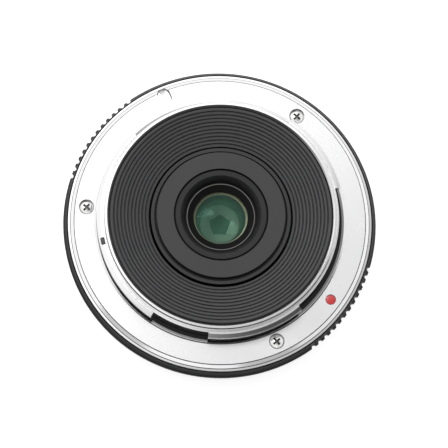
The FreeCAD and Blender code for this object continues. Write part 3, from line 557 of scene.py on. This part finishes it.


# Bayonet mount: flange, tube and lugs. It takes painted shade, a dark colour, in the line at the
# flange's bevel, at the step's foot, in the screws' recesses, at the pocket's outer end and in the
# relief groove.
mount = {
    "outline": [(21.0, -1.6), (21.0, 0.8), (22.0, 0.8, 0.05), (22.0, 5.13, 0.03),
                (22.32, 5.45, 0.04), (22.73, 5.45, 0.04), (22.95, 5.23, 0.04),
                (22.95, 3.60, 0.03), (23.33, 3.60, 0.04), (23.33, -0.9, 0.05),
                (24.2, -0.9, 0.05), (24.2, -0.18), (24.60, -0.18), (24.63, -0.18),
                (24.7, -0.18, 0.02), (24.98, 0.0, 0.03), (25.05, 0.0), (28.85, 0.0),
                (28.88, 0.0, 0.01), (28.91, -0.20, 0.0), (29.01, -0.20, 0.0),
                (29.04, -0.165, 0.01), (29.67, -0.48, 0.03), (29.67, -0.66), (29.77, -0.66),
                (29.80, -0.66), (30.20, -0.66, 0.06), (30.20, -1.6)],
    "lug": [(22.475, 2.3), (24.40, 2.3, 0.05), (24.40, 3.70, 0.07), (23.65, 4.20, 0.05),
            (23.31, 4.20, 0.04), (23.31, 3.50, 0.0), (22.475, 3.50, 0.0)],
    "lugArcs": [(209.5, 255.6), (81.5, 181.5), (-40.5, 0.0)], "lugStep": 1.25, "cutTop": 1.0,
    "screwPlace": 26.65, "screwAngles": (0.0, 120.0, 240.0), "screwRecess": 1.54,
    "screwSeat": -1.0, "shankHole": 0.82, "shankLow": -2.5,
    "dotPlace": 26.95, "dotAngle": -90.7, "dotRadius": 1.05, "dotDepth": 0.35, "dotEdge": -0.14,
    "dotSwell": 0.10, "dotRim": 0.84, "dotGap": 0.01,
    "keyPlace": 23.68, "keyAngle": 138.5, "keyWidth": 0.85, "keyLength": 1.45, "keyRound": 0.20,
    "keyTop": 3.85, "keyFoot": 2.3, "keyBevel": 0.06, "keySlot": (1.3, 5.0),
    "pocketPlace": 28.05, "pocketAngle": 59.0, "pocketWidth": 2.60, "pocketLength": 3.50,
    "pocketDepth": 1.30, "pocketBevel": 0.12,
    "blackened": [(28.85, 29.05, -0.22, -0.18, 1.0), (29.65, 29.78, -0.68, -0.64, 1.0),
                  (24.9, 31.0, -1.25, -0.95, 0.6), (29.45, 31.0, -1.40, -1.27, 0.7),
                  (24.15, 24.61, -0.19, -0.17, 0.7)],
    "satin": [(25.02, 28.88, -0.002, 0.002, 1.0)],
}


# Upright block between two heights. Its outline is a circle's four quarters moved apart along
# both axes, and foot and top are small bevels round its ends.
def uprightBlock(radius, low, high, apart=(0.0, 0.0), segments=64, foot=0.0, top=0.0):
    angle = (np.arange(segments) + 0.5) * 2 * np.pi / segments
    x = radius * np.cos(angle) + np.sign(np.cos(angle)) * apart[0]
    y = radius * np.sin(angle) + np.sign(np.sin(angle)) * apart[1]
    shrink = radius + min(apart)
    rows = [(0.0, low), (1 - foot / shrink, low), (1.0, low + foot), (1.0, high - top),
            (1 - top / shrink, high), (0.0, high)]
    points = np.stack([np.stack([x * share * mm, y * share * mm, np.full_like(x, z * mm)], -1)
                       for share, z in rows], 1)
    return gridMesh(points, True, False, merge=True)


def keyBlock(low, high, top=0.0):
    m = mount
    corner = m["keyRound"]
    apart = (m["keyWidth"] / 2 - corner, m["keyLength"] / 2 - corner)
    block = uprightBlock(corner, low, high, apart, 32, 0.0, top)
    return placeMesh(block, m["keyPlace"], 0, m["keyAngle"])


# The cutters are the screws' counterbores with their clear holes, each one turned outline, then
# the index dot's hole, the stop key's slot and the lock pin's pocket.
def buildMount():
    m = mount
    base = turnedMesh(m["outline"], 0.02, 3, 288)
    lugs = [sectorMesh(m["lug"], a0, a1, 0.04, 3, max(12, int((a1 - a0) / m["lugStep"])))
            for a0, a1 in m["lugArcs"]]
    body = booleanMesh(base, lugs, "UNION")
    head, shank, seat = m["screwRecess"], m["shankHole"], m["screwSeat"]
    bore = [(0, m["shankLow"]), (shank, m["shankLow"]), (shank, seat), (head, seat),
            (head, m["cutTop"]), (0, m["cutTop"])]
    cutters = [placeMesh(latheMesh(bore, 72), m["screwPlace"], 0, angle)
               for angle in m["screwAngles"]]
    cutters.append(placeMesh(uprightBlock(m["dotRadius"], -m["dotDepth"], m["cutTop"]),
                             m["dotPlace"], 0, m["dotAngle"]))
    cutters.append(keyBlock(*m["keySlot"]))
    half = m["pocketWidth"] / 2
    cutters.append(placeMesh(uprightBlock(half, -m["pocketDepth"], m["cutTop"],
                                          (m["pocketLength"] / 2 - half, 0.0), 96,
                                          m["pocketBevel"]),
                             m["pocketPlace"], 0, m["pocketAngle"]))
    mesh = booleanMesh(body, cutters)
    # Painted shade: the lines, recesses and groove listed in blackened.
    markPoints(mesh, "deep", m["blackened"])
    markPoints(mesh, "satin", m["satin"])
    finePiece("bayonet_mount", mesh, "body")
    finePiece("lug_stop_key", keyBlock(m["keyFoot"], m["keyTop"], m["keyBevel"]), "body")


buildMount()

# Screw with a domed head and a tapered cross recess. The head's dome is a circle's arc turned
# round the axis; the recess is cut by two crossed wedges.
mountScrew = {"head": 1.32, "height": 0.85, "crown": 0.30, "shank": 0.70, "grip": 3.40,
              "rounding": 0.06, "wing": 1.22, "wingWidth": 0.40, "wingDepth": 0.55,
              "around": 0.1, "under": (0.02, 0.75), "spins": (-7.0, 55.0, 17.0)}
wedge = {"reach": (-1, 1, 0.35, -0.35), "half": (1.25, 1.25, 0.7, 0.7), "over": 0.3}


def domeHeight(r):
    s = mountScrew
    curve = (s["head"] ** 2 + s["crown"] ** 2) / (2 * s["crown"])
    return s["height"] - (curve - np.sqrt(np.maximum(curve * curve - r * r, 0)))


# Marks the faces inside a screw's recess for painted shade: those whose middle lies clearly under
# the head's face.
def markRecess(mesh, reach):
    x, y, z = readPoints(mesh.polygons, "center").T / mm
    r = np.hypot(x, y)
    under = domeHeight(r) - z
    least, most = mountScrew["under"]
    writeMark(mesh, "deep", (r < reach) & (under > least) & (under < most), "FACE")


def crossCutter(reach, width, depth, top):
    x = np.array(wedge["reach"]) * reach
    z = top + np.array([wedge["over"], wedge["over"], -depth, -depth])
    half = width / 2 * np.array(wedge["half"])
    wings = []
    for turn in (0, 90):
        sides = [np.stack([x, way * half, z], 1) * mm for way in (-1, 1)]
        wing = gridMesh(np.stack(sides, 1), True, False)
        addCaps(wing, [(0, 2, 4, 6), (7, 5, 3, 1)], True)
        wings.append(placeMesh(wing, 0, 0, turn))
    return booleanMesh(wings[0], wings[1:], "UNION")


def buildMountScrews():
    s = mountScrew
    r = np.linspace(s["head"], 0, 13)
    dome = np.stack([r, domeHeight(r)], 1)
    outline, edge = roundedOutline(
        [(0, -s["grip"]), (s["shank"], -s["grip"], 0.08), (s["shank"], 0),
         (s["head"], 0, s["rounding"]), (s["head"], s["height"] - s["crown"], s["rounding"]),
         dome[2]], 0.02, 3, False)
    outline = np.vstack([outline, dome[3:]])
    edge = np.append(edge, np.zeros(len(dome) - 3))
    heads = []
    for spin, angle in zip(s["spins"], mount["screwAngles"]):
        blank = latheMesh(outline, 72, edge)
        cross = crossCutter(s["wing"], s["wingWidth"], s["wingDepth"], s["height"])
        head = booleanMesh(blank, [cross])
        markRecess(head, s["wing"] + s["around"])
        heads.append(placeMesh(head, mount["screwPlace"], mount["screwSeat"], angle, spin))
    finePiece("mount_screws", joinMeshes(heads), "body", sharp=40)


buildMountScrews()


# Red dot: a short disc with its lacquer swelling to the middle, and painted shade round its edge.
def buildIndexDot():
    m = mount
    r = np.linspace(m["dotRadius"] - m["dotGap"], 0, 12)
    top = m["dotEdge"] + m["dotSwell"] * (1 - (r / r[0]) ** 2)
    foot = -m["dotDepth"]
    outline = np.vstack([[(0, foot), (r[0], foot)], np.stack([r, top], 1)])
    mesh = latheMesh(outline, 64)
    # Painted shade round the dot's edge.
    markPoints(mesh, "deep", [(m["dotRim"] * m["dotRadius"], 2.0, -1.0, 1.0, 1.0)])
    placeMesh(mesh, m["dotPlace"], 0, m["dotAngle"])
    finePiece("index_dot", mesh, "body")


buildIndexDot()
ringPiece("light_seal_ring", "body", [(23.37, -0.9), (24.16, -0.9), (24.16, -0.3, 0.08),
                                      (23.37, -0.3, 0.08)])
print("bayonet mount made")


# Rear baffle: dished cover with ring-shaped light-trap ridges, and painted light in the groove
# roots.
baffle = {"outer": 21.96, "rim": 5.25, "rimWidth": 0.55, "opening": 14.20, "dish": 1.90,
          "edgeWidth": 0.26, "edgeHeight": 0.85, "pitch": 0.69, "groove": 0.31, "depth": 0.45,
          "lead": 0.25, "margin": 0.25, "wall": 0.90, "seat": 0.80, "root": 0.12}


def buildBaffle():
    b = baffle
    start = b["outer"] - b["rimWidth"]
    slope = b["dish"] / (start - b["opening"])
    foot = b["rim"] - b["edgeHeight"]
    edge = b["outer"] - b["edgeWidth"]
    corners = [(b["outer"], b["seat"]), (b["outer"], foot), (edge, foot), (edge, b["rim"], 0.05),
               (start, b["rim"])]
    for i in range(int((start - b["opening"] - b["margin"]) / b["pitch"])):
        r = np.array([0, b["groove"] / 2, b["groove"]])
        r = start - b["lead"] - i * b["pitch"] - r
        z = b["rim"] - (start - r) * slope
        corners += [(r[0], z[0], 0.05), (r[1], z[0] - b["depth"], 0.03), (r[2], z[2], 0.05)]
    floor = b["rim"] - b["dish"]
    inner = b["outer"] - b["wall"]
    corners += [(b["opening"], floor, 0.06), (b["opening"], floor - b["wall"]),
                (inner, b["rim"] - b["wall"] - slope * b["wall"]), (inner, b["seat"])]
    mesh = turnedMesh(corners)
    root = b["rim"] - b["depth"]
    low, high = root - b["root"], root + b["root"]
    # The groove roots take a paler colour: painted light that lifts their shade.
    markPoints(mesh, "deep", [(b["opening"] + 0.1, start, low, high, 1.0)], slope, start)
    finePiece("rear_baffle", mesh, "body", sharp=60)


buildBaffle()
print("baffle made")


# Main barrel with its knurled grip ring. Its bevel under the upper corner is paler, a painted
# sheen.
barrel = {
    "outline": [(22.6, -5.2), (22.6, -3.6), (24.94, -3.6), (24.94, -1.9), (30.24, -1.9),
                (30.24, -0.75, 0.03), (30.44, -0.75, 0.05), (31.2, -1.95, 0.10),
                (31.2, -3.05, 0.06), (30.7, -3.05, 0.05), (30.7, -3.30, 0.05),
                (29.731, -11.4, 0.05), (28.7, -11.4), (28.7, -12.6), (27.9, -12.6),
                (27.9, -5.2)],
    "coarse": 1.25, "fine": 0.125, "radius": 31.20, "centres": (-90.0, 90.0), "teeth": 12,
    "pitch": 3.0, "groove": 0.52, "depth": 0.45, "grooveTop": -0.4, "grooveBottom": -3.31,
    "grooveInner": 30.3, "near": 0.1,
    "paler": [(30.45, 31.5, -1.5, -0.757, 1.0)],
}


# The outline goes round the axis, and each point's radius is the smaller of the outline's own
# and the distance at which its ray enters a groove: c cos t - sqrt(g g - c c sin t sin t), with
# c the distance of the groove's middle, g its radius and t the angle from it.
def buildBarrel():
    b = barrel
    outline, edge = roundedOutline(b["outline"])
    half = (b["teeth"] + 1) / 2 * b["pitch"]
    angles = [np.arange(0, 360, b["coarse"])]
    angles += [centre + np.arange(-half, half, b["fine"]) for centre in b["centres"]]
    angle = np.unique(np.round(np.concatenate(angles) % 360, 4))
    t = np.radians(angle)[:, None]
    r = np.broadcast_to(outline[None, :, 0], (len(angle), len(outline))).copy()
    z = np.broadcast_to(outline[None, :, 1], r.shape)
    centreLine = b["radius"] + b["groove"] - b["depth"]
    inside = ((z[0] < b["grooveTop"]) & (z[0] > b["grooveBottom"])
              & (outline[:, 0] > b["grooveInner"]))
    for middle in b["centres"]:
        for i in range(b["teeth"] + 1):
            at = np.radians(middle + (i - b["teeth"] / 2) * b["pitch"])
            off = (t[:, 0] - at + np.pi) % (2 * np.pi) - np.pi
            under = b["groove"] ** 2 - (centreLine * np.sin(off)) ** 2
            enter = centreLine * np.cos(off) - np.sqrt(np.maximum(under, 0))
            cut = np.where((under > 0) & (np.abs(off) < b["near"]), enter, np.inf)[:, None]
            r[:, inside] = np.minimum(r[:, inside], cut)
    points = np.stack([r * np.cos(t), r * np.sin(t), z], -1) * mm
    mesh = gridMesh(points, True, True, edge)
    # Painted sheen: a paler colour on the bevel.
    markPoints(mesh, "deep", b["paler"])
    finePiece("main_barrel", mesh, "body", sharp=38)


buildBarrel()

# Front of the body: rim and face plate.
ringPiece("front_rim", "body", [(28.74, -11.4), (29.731, -11.4, 0.04), (29.30, -15.0, 0.50),
                                (28.1, -15.0, 0.06), (27.5, -14.4, 0.05), (27.5, -13.4),
                                (28.74, -13.4)])
ringPiece("face_plate", "body", [(28.7, -13.4), (28.7, -12.6), (21.9, -12.6),
                                 (21.9, -13.4, 0.08)])
print("barrel and front made")

# Focus ring with its finger tab, at the front.
focus = {
    "ring": (14.1, 21.7, -13.4, -12.4), "rounding": 0.10, "tabAngle": -135.0, "tabArc": 22.0,
    "tabInner": 17.0, "tabOuter": 21.3, "tabFoot": 0.50, "ridgeArc": 12.0, "ridgeHeight": 0.75,
    "ridgeMargin": 0.55, "gripGrooves": 4, "gripRadius": 0.28, "gripSpan": (12.0, 24.0),
    "footRound": 0.12, "crestRound": 0.14, "overlap": 0.1,
}
# A set of flush screws: head radius, grip, depth of its hole, place, and the spin at each angle.
flush = {
    "shank": 0.40, "cone": 0.40, "cross": (0.62, 0.26, 0.36), "fit": 0.04, "shankFit": 0.12,
    "flat": 0.6, "gap": 0.02, "sinkTop": 0.4, "tappedOver": 0.5,
    "ring": (0.72, 1.60, 1.6, 15.35, {15.0: 10.0, 135.0: 48.0, 255.0: 27.0}),
    "tab": (0.62, 1.00, 0.9, 19.15, {-143.5: 22.0, -126.5: 60.0}),
}


# Seat cutters and countersunk screws of a set, on the front side. A screw is a shank and a cone
# head up to z = 0, turned round the axis, with a cross recess. Its seat is a little wider.
def flushScrews(kind, height):
    f = flush
    shank, cone = f["shank"], f["cone"]
    head, grip, depth, place, spins = f[kind]
    wide, hole = head + f["fit"], shank + f["shankFit"]
    outline, edge = roundedOutline([(0, -cone - grip), (shank, -cone - grip, 0.05),
                                    (shank, -cone, 0.03), (head, 0, 0.04), (head * f["flat"], 0)],
                                   0.02, 2, False)
    sinks, screws = [], []
    for angle, spin in spins.items():
        blank = latheMesh(np.vstack([outline, [(0, 0)]]), 48, np.append(edge, 0))
        cross = crossCutter(*[head * share for share in f["cross"]], 0.0)
        screw = placeMesh(booleanMesh(blank, [cross]), 0, 0, 0, spin)
        sink = latheMesh([(0, -depth), (hole, -depth), (hole, -cone - f["gap"]), (wide, 0),
                          (wide, f["sinkTop"]), (0, f["sinkTop"])], 48)
        sinks.append(placeMesh(sink, place, height, angle, 0, True))
        screws.append(placeMesh(screw, place, height, angle, 0, True))
    return sinks, joinMeshes(screws)


def buildFocusRing():
    inner, outer, front, rear = focus["ring"]
    corner, over = focus["rounding"], flush["tappedOver"]
    blank = turnedMesh([(inner, rear), (inner, front, corner), (outer, front, corner),
                        (outer, rear)], 0.03, 3, 288)
    sinks, screws = flushScrews("ring", front)
    place, spins = flush["tab"][3:]
    tapped = [placeMesh(uprightBlock(flush["shank"], front - over, rear + over), place, 0, angle)
              for angle in spins]
    finePiece("focus_ring", booleanMesh(blank, sinks + tapped), "focus")
    finePiece("focus_ring_screws", screws, "focus", sharp=40)


buildFocusRing()


# Finger tab: a flat foot with a ridge joined to it, both swept round part of a circle. Round
# grooves that lie outwards cut its crest.
def buildTab():
    f = focus
    front = f["ring"][2]
    top = front - f["tabFoot"]
    crest = top - f["ridgeHeight"]
    start, end = f["tabAngle"] - f["tabArc"] / 2, f["tabAngle"] + f["tabArc"] / 2
    corner = f["footRound"]
    foot = sectorMesh([(f["tabInner"], front), (f["tabInner"], top, corner),
                       (f["tabOuter"], top, corner), (f["tabOuter"], front)],
                      start, end, 0.03, 3, 64)
    margin = f["ridgeMargin"]
    inner, outer = f["tabInner"] + margin, f["tabOuter"] - margin
    start, end = f["tabAngle"] - f["ridgeArc"] / 2, f["tabAngle"] + f["ridgeArc"] / 2
    corner, low = f["crestRound"], top + f["overlap"]
    ridge = sectorMesh([(inner, low), (inner, top), (inner + margin / 2, crest, corner),
                        (outer - margin / 2, crest, corner), (outer, top), (outer, low)],
                       start, end, 0.02, 4, 48)
    near, far = f["gripSpan"]
    cutters = []
    for i in range(f["gripGrooves"]):
        groove = latheMesh([(0, near), (f["gripRadius"], near), (f["gripRadius"], far), (0, far)],
                           40)
        movePoints(groove, readPoints(groove.vertices)[:, [2, 1, 0]] * [1, 1, -1]
                   + [0, 0, crest * mm])
        angle = start + (i + 1) * f["ridgeArc"] / (f["gripGrooves"] + 1)
        cutters.append(placeMesh(groove, 0, 0, angle))
    sinks, screws = flushScrews("tab", top)
    body = booleanMesh(foot, [ridge], "UNION")
    finePiece("focus_tab", booleanMesh(body, cutters + sinks), "focus")
    finePiece("focus_tab_screws", screws, "focus", sharp=40)


buildTab()
print("focus ring and tab made")

# Distance scale: generic numbers in metres on the face plate, a short line at each, and a line on
# the tab that points at them. Each figure stands upright at its own angle, with its top outwards.
scale = {
    "marks": [("3", 8.1), ("1.5", 16.4), ("1", 24.7), ("0.7", 35.6), ("0.5", 50.4), ("0.4", 63.6),
              ("0.3", 86.0)],
    "size": 1.75, "bold": 0.012, "radius": 24.05, "lineInner": 22.35, "lineOuter": 23.55,
    "lineWidth": 0.22, "thickness": 0.016, "plateFront": -13.4, "tabFront": -13.9, "sunk": 0.002,
    "tabLine": (20.78, 21.22), "loopWidth": 2.1, "loopBand": 0.24, "loopMiddle": 0.62,
    "loopLift": 0.002, "paint": (0.72, 0.72, 0.71),
}


# Puts a flat mesh, drawn in millimetres with x along the line and y up, on the plate: the point
# goes to radius place + y at the angle, and x runs along the tangent. Its face points forwards.
def wrapOnPlate(mesh, place, angle, front):
    x, y, h = readPoints(mesh.vertices).T
    s, c = sin(radians(angle)), cos(radians(angle))
    r = place + y
    return movePoints(mesh, np.stack([r * c - x * s, r * s + x * c, front - h], -1) * mm)


def figureMesh(words):
    curve = bpy.data.curves.new("figure", "FONT")
    curve.body = words
    curve.size = scale["size"]
    curve.extrude = scale["thickness"] / 2
    curve.offset = scale["bold"]
    curve.resolution_u = 6
    curve.align_x = "CENTER"
    mesh = finalMesh(linkObject("figure", curve))
    cleanMesh(mesh, 1e-5)
    return mesh


def lineMesh(low, high):
    half, thick = scale["lineWidth"] / 2, scale["thickness"] / 2
    ring = np.array([(-half, low), (half, low), (half, high), (-half, high)])
    rows = [np.column_stack([ring, np.full(4, level)]) for level in (-thick, thick)]
    return addCaps(gridMesh(np.stack(rows, 1), True, False), [(6, 4, 2, 0), (1, 3, 5, 7)])


# Infinity sign: a band of square section along the curve x = w cos t / (1 + sin t sin t),
# y = w sin t cos t / (1 + sin t sin t). Its two branches cross a hair's breadth apart.
def loopMesh():
    s = scale
    t = np.linspace(0, 2 * np.pi, 96, endpoint=False)
    under = 1 + np.sin(t) ** 2
    path = np.stack([np.cos(t) / under, np.sin(t) * np.cos(t) / under], -1) * s["loopWidth"] / 2
    along = np.roll(path, -1, 0) - np.roll(path, 1, 0)
    along /= norm(along, axis=1)[:, None]
    side = np.stack([-along[:, 1], along[:, 0]], -1) * s["loopBand"] / 2
    lift = s["loopLift"] * np.cos(t)[:, None]
    rows = [np.column_stack([path + way * side + [0, s["loopMiddle"]],
                             level * s["thickness"] / 2 + lift])
            for way, level in ((1, -1), (-1, -1), (-1, 1), (1, 1))]
    return gridMesh(np.stack(rows, 1), True, True)


def buildScale():
    s = scale
    paint = paintFinish("scalePaint", s["paint"])
    middle = s["plateFront"] + s["sunk"]
    start = focus["tabAngle"]
    pieces = [wrapOnPlate(loopMesh(), s["radius"], start, middle)]
    for words, turn in s["marks"]:
        pieces.append(wrapOnPlate(figureMesh(words), s["radius"], start + turn, middle))
    for turn in [0.0] + [turn for words, turn in s["marks"]]:
        pieces.append(wrapOnPlate(lineMesh(s["lineInner"], s["lineOuter"]), 0, start + turn,
                                  middle))
    addPiece("distanceScale", joinMeshes(pieces), "body", paint)
    index = wrapOnPlate(lineMesh(*s["tabLine"]), 0, start, s["tabFront"] + s["sunk"])
    addPiece("tabIndexLine", index, "focus", paint)


buildScale()
print("distance scale made")

# Lens unit: rings round the glass, then the glass itself. The cone's wall and outer side take
# painted shade, a near-black colour, and the glass ring's edge is bare.
lensRings = {
    "cell": [(9.27, 2.55), (11.86, 2.55), (11.86, 3.3), (12.65, 3.3), (12.65, 4.87, 0.03),
             (12.57, 4.95, 0.04), (9.32, 4.95, 0.03), (9.27, 4.90, 0.02)],
    "cone": [(7.0, 2.55), (9.23, 2.55), (9.23, 4.25), (8.93, 4.25), (8.93, 4.85, 0.05),
             (7.95, 4.85, 0.05), (7.0, 3.20, 0.04)],
    "painted": [(0.0, 7.93, 0.0, 4.84, 1.0), (8.94, 10.0, 0.0, 4.7, 1.0)],
    "ring": [(5.35, 1.91), (6.75, 1.91), (6.75, 2.90, 0.05), (6.60, 2.90, 0.04),
             (6.50, 2.72, 0.03), (5.35, 2.40, 0.03)],
    "bare": [(6.58, 7.0, 2.86, 3.0, 1.0)],
    "bezel": [(6.6, -10.6, 0.03), (10.6, -13.2, 0.05), (13.6, -13.2, 0.35), (13.6, -11.4),
              (11.86, -11.4), (11.86, -10.2), (7.84, -10.2), (7.84, -10.6)],
    "retainer": [(6.2, -10.6, 0.04), (6.2, -9.6), (5.25, -9.6, 0.03), (5.25, -10.6, 0.12)],
}


def buildGlassRings():
    g = lensRings
    cell = turnedMesh(g["cell"])
    # The cell's sides under its face take painted shade.
    flat = blackFinish("cellFace", (0.038, 0.038, 0.040), 0.46, *cellGrain, wear=0.05,
                       shade=(4.60, 4.84))
    finePiece("rear_cell", cell, "optics", flat)
    cone = turnedMesh(g["cone"])
    # Painted shade: a near-black colour on the cone's wall and outer side.
    markPoints(cone, "deep", g["painted"])
    paint = blackFinish("conePaint", (0.034, 0.034, 0.035), 0.48, *cellGrain, wear=0.05,
                        specular=0.2, deep=(0.006, 0.006, 0.0065))
    finePiece("cone_ring", cone, "optics", paint)
    ring = turnedMesh(g["ring"])
    markPoints(ring, "rim", g["bare"])
    gloss = blackFinish("lensRingBlack", (0.004, 0.004, 0.004), 0.34, (5200.0, 4e-6),
                        (9000.0, 5e-6), wear=0.0, dust=0.03, specular=0.08, rim=True)
    finePiece("rear_lens_ring", ring, "optics", gloss)


buildGlassRings()
ringPiece("front_bezel", "optics", lensRings["bezel"])
ringPiece("front_retainer", "optics", lensRings["retainer"])

# Aperture plate: five thin blades round a five-sided hole. Each blade starts high and drops a
# little across its width, so that its edge steps up to the next. The edges are the hole's sides
# drawn on outwards: at radius r such a line lies acos(apothem / r) past the side's middle.
aperture = {"reach": 1.64, "turn": 36.0, "sides": 5, "outer": 5.0, "front": -4.44, "rear": -4.305,
            "drop": 0.07, "columns": 14, "rows": 12}


def buildAperture():
    a = aperture
    step = 2 * np.pi / a["sides"]
    apothem = a["reach"] * cos(step / 2)
    share = np.tile(np.linspace(0, 1, a["columns"]), a["sides"])
    first = radians(a["turn"]) + step * np.repeat(np.arange(a["sides"]), a["columns"])
    r = np.linspace(a["reach"], a["outer"], a["rows"])[:, None]
    angle = first + step * share + np.arccos(apothem / r) - step / 2
    r = np.broadcast_to(r, angle.shape)
    inner = apothem / np.cos(step * (share - 0.5))
    r = np.vstack([inner, r[1:]])
    top = a["rear"] - a["drop"] * np.broadcast_to(share, r.shape)
    r = np.vstack([r, r[::-1]])
    angle = np.vstack([angle, angle[::-1]])
    z = np.vstack([top, np.full_like(top, a["front"])])
    points = np.stack([r * np.cos(angle), r * np.sin(angle), z], -1).transpose(1, 0, 2) * mm
    blades = metalFinish("bladeSteel", (0.13, 0.15, 0.14), (0.30, 0.30, 0.36), (0.30, 0.12),
                         (9000.0, 4e-7), 400.0)
    mesh = gridMesh(points, True, True, None, True, True)
    finePiece("aperture_plate", mesh, "optics", blades, 20)


buildAperture()

# Spacer between the rear glass and the doublet behind it, with a finely grooved bore.
spacer = {"outer": 5.9, "rear": 0.39, "front": -0.99, "bore": 4.80, "groove": 0.06, "length": 1.38,
          "steps": 14}


def buildRearSpacer():
    s = spacer
    bore = [(s["bore"] + s["groove"] * (i % 2), s["front"] + s["length"] * i / s["steps"])
            for i in range(s["steps"] + 1)]
    mesh = turnedMesh([(s["outer"], s["rear"]), (s["outer"], s["front"])] + bore, 0.01, 2, 192)
    brass = metalFinish("spacerBrass", (0.22, 0.19, 0.13), (0.16, 0.14, 0.10), (0.26, 0.12),
                        (15000.0, 2e-6), 300.0)
    finePiece("rear_spacer", mesh, "optics", brass, 40)


buildRearSpacer()

# Glass: its radius, front side and rear side. A side is a rim height, a curve radius, the way it
# swells and the distance from the axis where the curve meets the flat rim. A curved side is a
# circle's arc about the axis.
glasses = {
    "rear_element": (5.9, (0.40, 60.0, -1, 4.8), (1.90, 18.0, 1, 5.35)),
    "rear_doublet_crown": (5.9, (-2.0, 16.0, -1, 5.9), (-1.0, 13.0, 1, 4.8)),
    "rear_doublet_flint": (5.9, (-3.69, 60.0, 1, 3.0), (-2.004, 16.0, -1, 5.9)),
    "front_doublet_flint": (5.0, (-6.196, 14.0, 1, 5.0), (-4.45, 40.0, -1, 3.0)),
    "front_doublet_crown": (5.0, (-7.0, 12.0, -1, 3.9), (-6.2, 14.0, 1, 5.0)),
    "front_element": (6.2, (-9.6, 22.0, -1, 5.25), (-8.0, 9.0, -1, 4.6)),
}
glassBevel = 0.08


def glassSide(radius, rim, curve, way, reach, inward):
    r = np.linspace(0, reach, 25)
    z = rim + way * (np.sqrt(curve * curve - r * r) - sqrt(curve * curve - reach ** 2))
    side = np.stack([r, z], 1)
    if reach < radius:
        side = np.vstack([side, [(reach + glassBevel / 2, rim), (radius - glassBevel, rim)],
                          [(radius, rim + glassBevel * inward)]])
    return side


def buildGlass(node):
    radius, front, rear = glasses[node]
    outline = np.vstack([glassSide(radius, *front, 1), glassSide(radius, *rear, -1)[::-1]])
    finePiece(node, latheMesh(outline, 160), "optics", sharp=25)


for node in glasses:
    buildGlass(node)
print("lens unit made")

# Studio: a bright soft sky with brighter and dimmer patches, over a white floor. A patch is a
# direction, the cosines of its outer and inner angle, and its level.
studio = {
    "camera": (-79.380, -40.372, 364.273), "right": (0.57867, -0.81469, 0.03784),
    "up": (0.78773, 0.57033, 0.23283), "lens": 151.78, "sensor": 36.0, "clip": (0.01, 10.0),
    "floor": -15.02, "floorSize": 3000.0, "floorColour": 0.95, "floorGlow": 0.62,
    "horizon": 0.05, "dome": 1.03, "domeLow": 0.02, "domeHigh": 0.44,
    "domeAxis": (0.246, 0.366, 0.899),
    "panels": [((0.25, 0.50, 0.83), 0.895, 0.924, 0.5),
               ((0.163, 0.340, 0.927), 0.9965, 0.9985, 4.5)],
    "flags": [((0.125, -0.215, 0.969), 0.905, 0.985, 0.54),
              ((-0.664, 0.195, 0.719), 0.97, 0.995, 0.40),
              ((-0.308, -0.625, 0.719), 0.97, 0.995, 0.40)],
}


def buildCamera():
    right, up = (np.array(studio[key]) / norm(studio[key]) for key in ("right", "up"))
    camera = bpy.data.cameras.new("photoCamera")
    camera.lens = studio["lens"]
    camera.sensor_width = studio["sensor"]
    camera.clip_start, camera.clip_end = studio["clip"]
    holder = linkObject("photoCamera", camera)
    place = np.eye(4)
    place[:3, 0], place[:3, 1], place[:3, 2] = right, up, np.cross(right, up)
    place[:3, 3] = np.array(studio["camera"]) * mm
    holder.matrix_world = Matrix(place.tolist())
    scene.camera = holder


# Soft step of the cosine between the looked-at point of the sky and a direction.
def skyStep(tree, place, direction, low, high, first, second):
    toward = (np.array(direction) / norm(direction)).tolist()
    dot = addNode(tree, "VectorMath", {0: place.outputs["Generated"], 1: toward},
                  operation="DOT_PRODUCT")
    return softStep(tree, dot.outputs["Value"], low, high, first, second, "SMOOTHERSTEP")


# Sky brightness: dark at the horizon, bright above, dimmed by flags and raised by panels, each a
# soft round patch about its direction. Camera rays see plain white.
def buildWorld():
    s = studio
    world = bpy.data.worlds.new("studioSky")
    scene.world = world
    world.use_nodes = True
    tree = world.node_tree
    tree.nodes.clear()
    place = addNode(tree, "TexCoord")
    sky = skyStep(tree, place, s["domeAxis"], s["domeLow"], s["domeHigh"], s["horizon"], s["dome"])
    for patches, operation, first, sign in ((s["flags"], "MULTIPLY", 1.0, -1.0),
                                            (s["panels"], "ADD", 0.0, 1.0)):
        for direction, outer, inner, level in patches:
            patch = skyStep(tree, place, direction, outer, inner, first, first + sign * level)
            sky = calc(tree, operation, sky, patch)
    soft = addNode(tree, "Background", {"Color": white, "Strength": sky})
    plain = addNode(tree, "Background", {"Color": white})
    rays = addNode(tree, "LightPath")
    mixed = addNode(tree, "MixShader", {0: rays.outputs["Is Camera Ray"], 1: soft.outputs[0],
                                        2: plain.outputs[0]})
    addNode(tree, "OutputWorld", {0: mixed.outputs[0]})


def buildFloor():
    half, z = studio["floorSize"] / 2 * mm, studio["floor"] * mm
    mesh = bpy.data.meshes.new("floor")
    mesh.from_pydata([(-half, -half, z), (half, -half, z), (half, half, z), (-half, half, z)],
                     [], [(0, 1, 2, 3)])
    material, tree, shader = newMaterial("paper", times(white, studio["floorColour"]), 0.0, 0.9)
    rays = addNode(tree, "LightPath")
    glow = calc(tree, "MULTIPLY", rays.outputs["Is Camera Ray"], studio["floorGlow"])
    feed(tree, shader, {"Specular IOR Level": 0.1, "Emission Color": white,
                        "Emission Strength": glow})
    mesh.materials.append(material)
    linkObject("floor", mesh)


buildCamera()
buildWorld()
buildFloor()
scene.view_settings.view_transform = "Standard"
print("studio made")
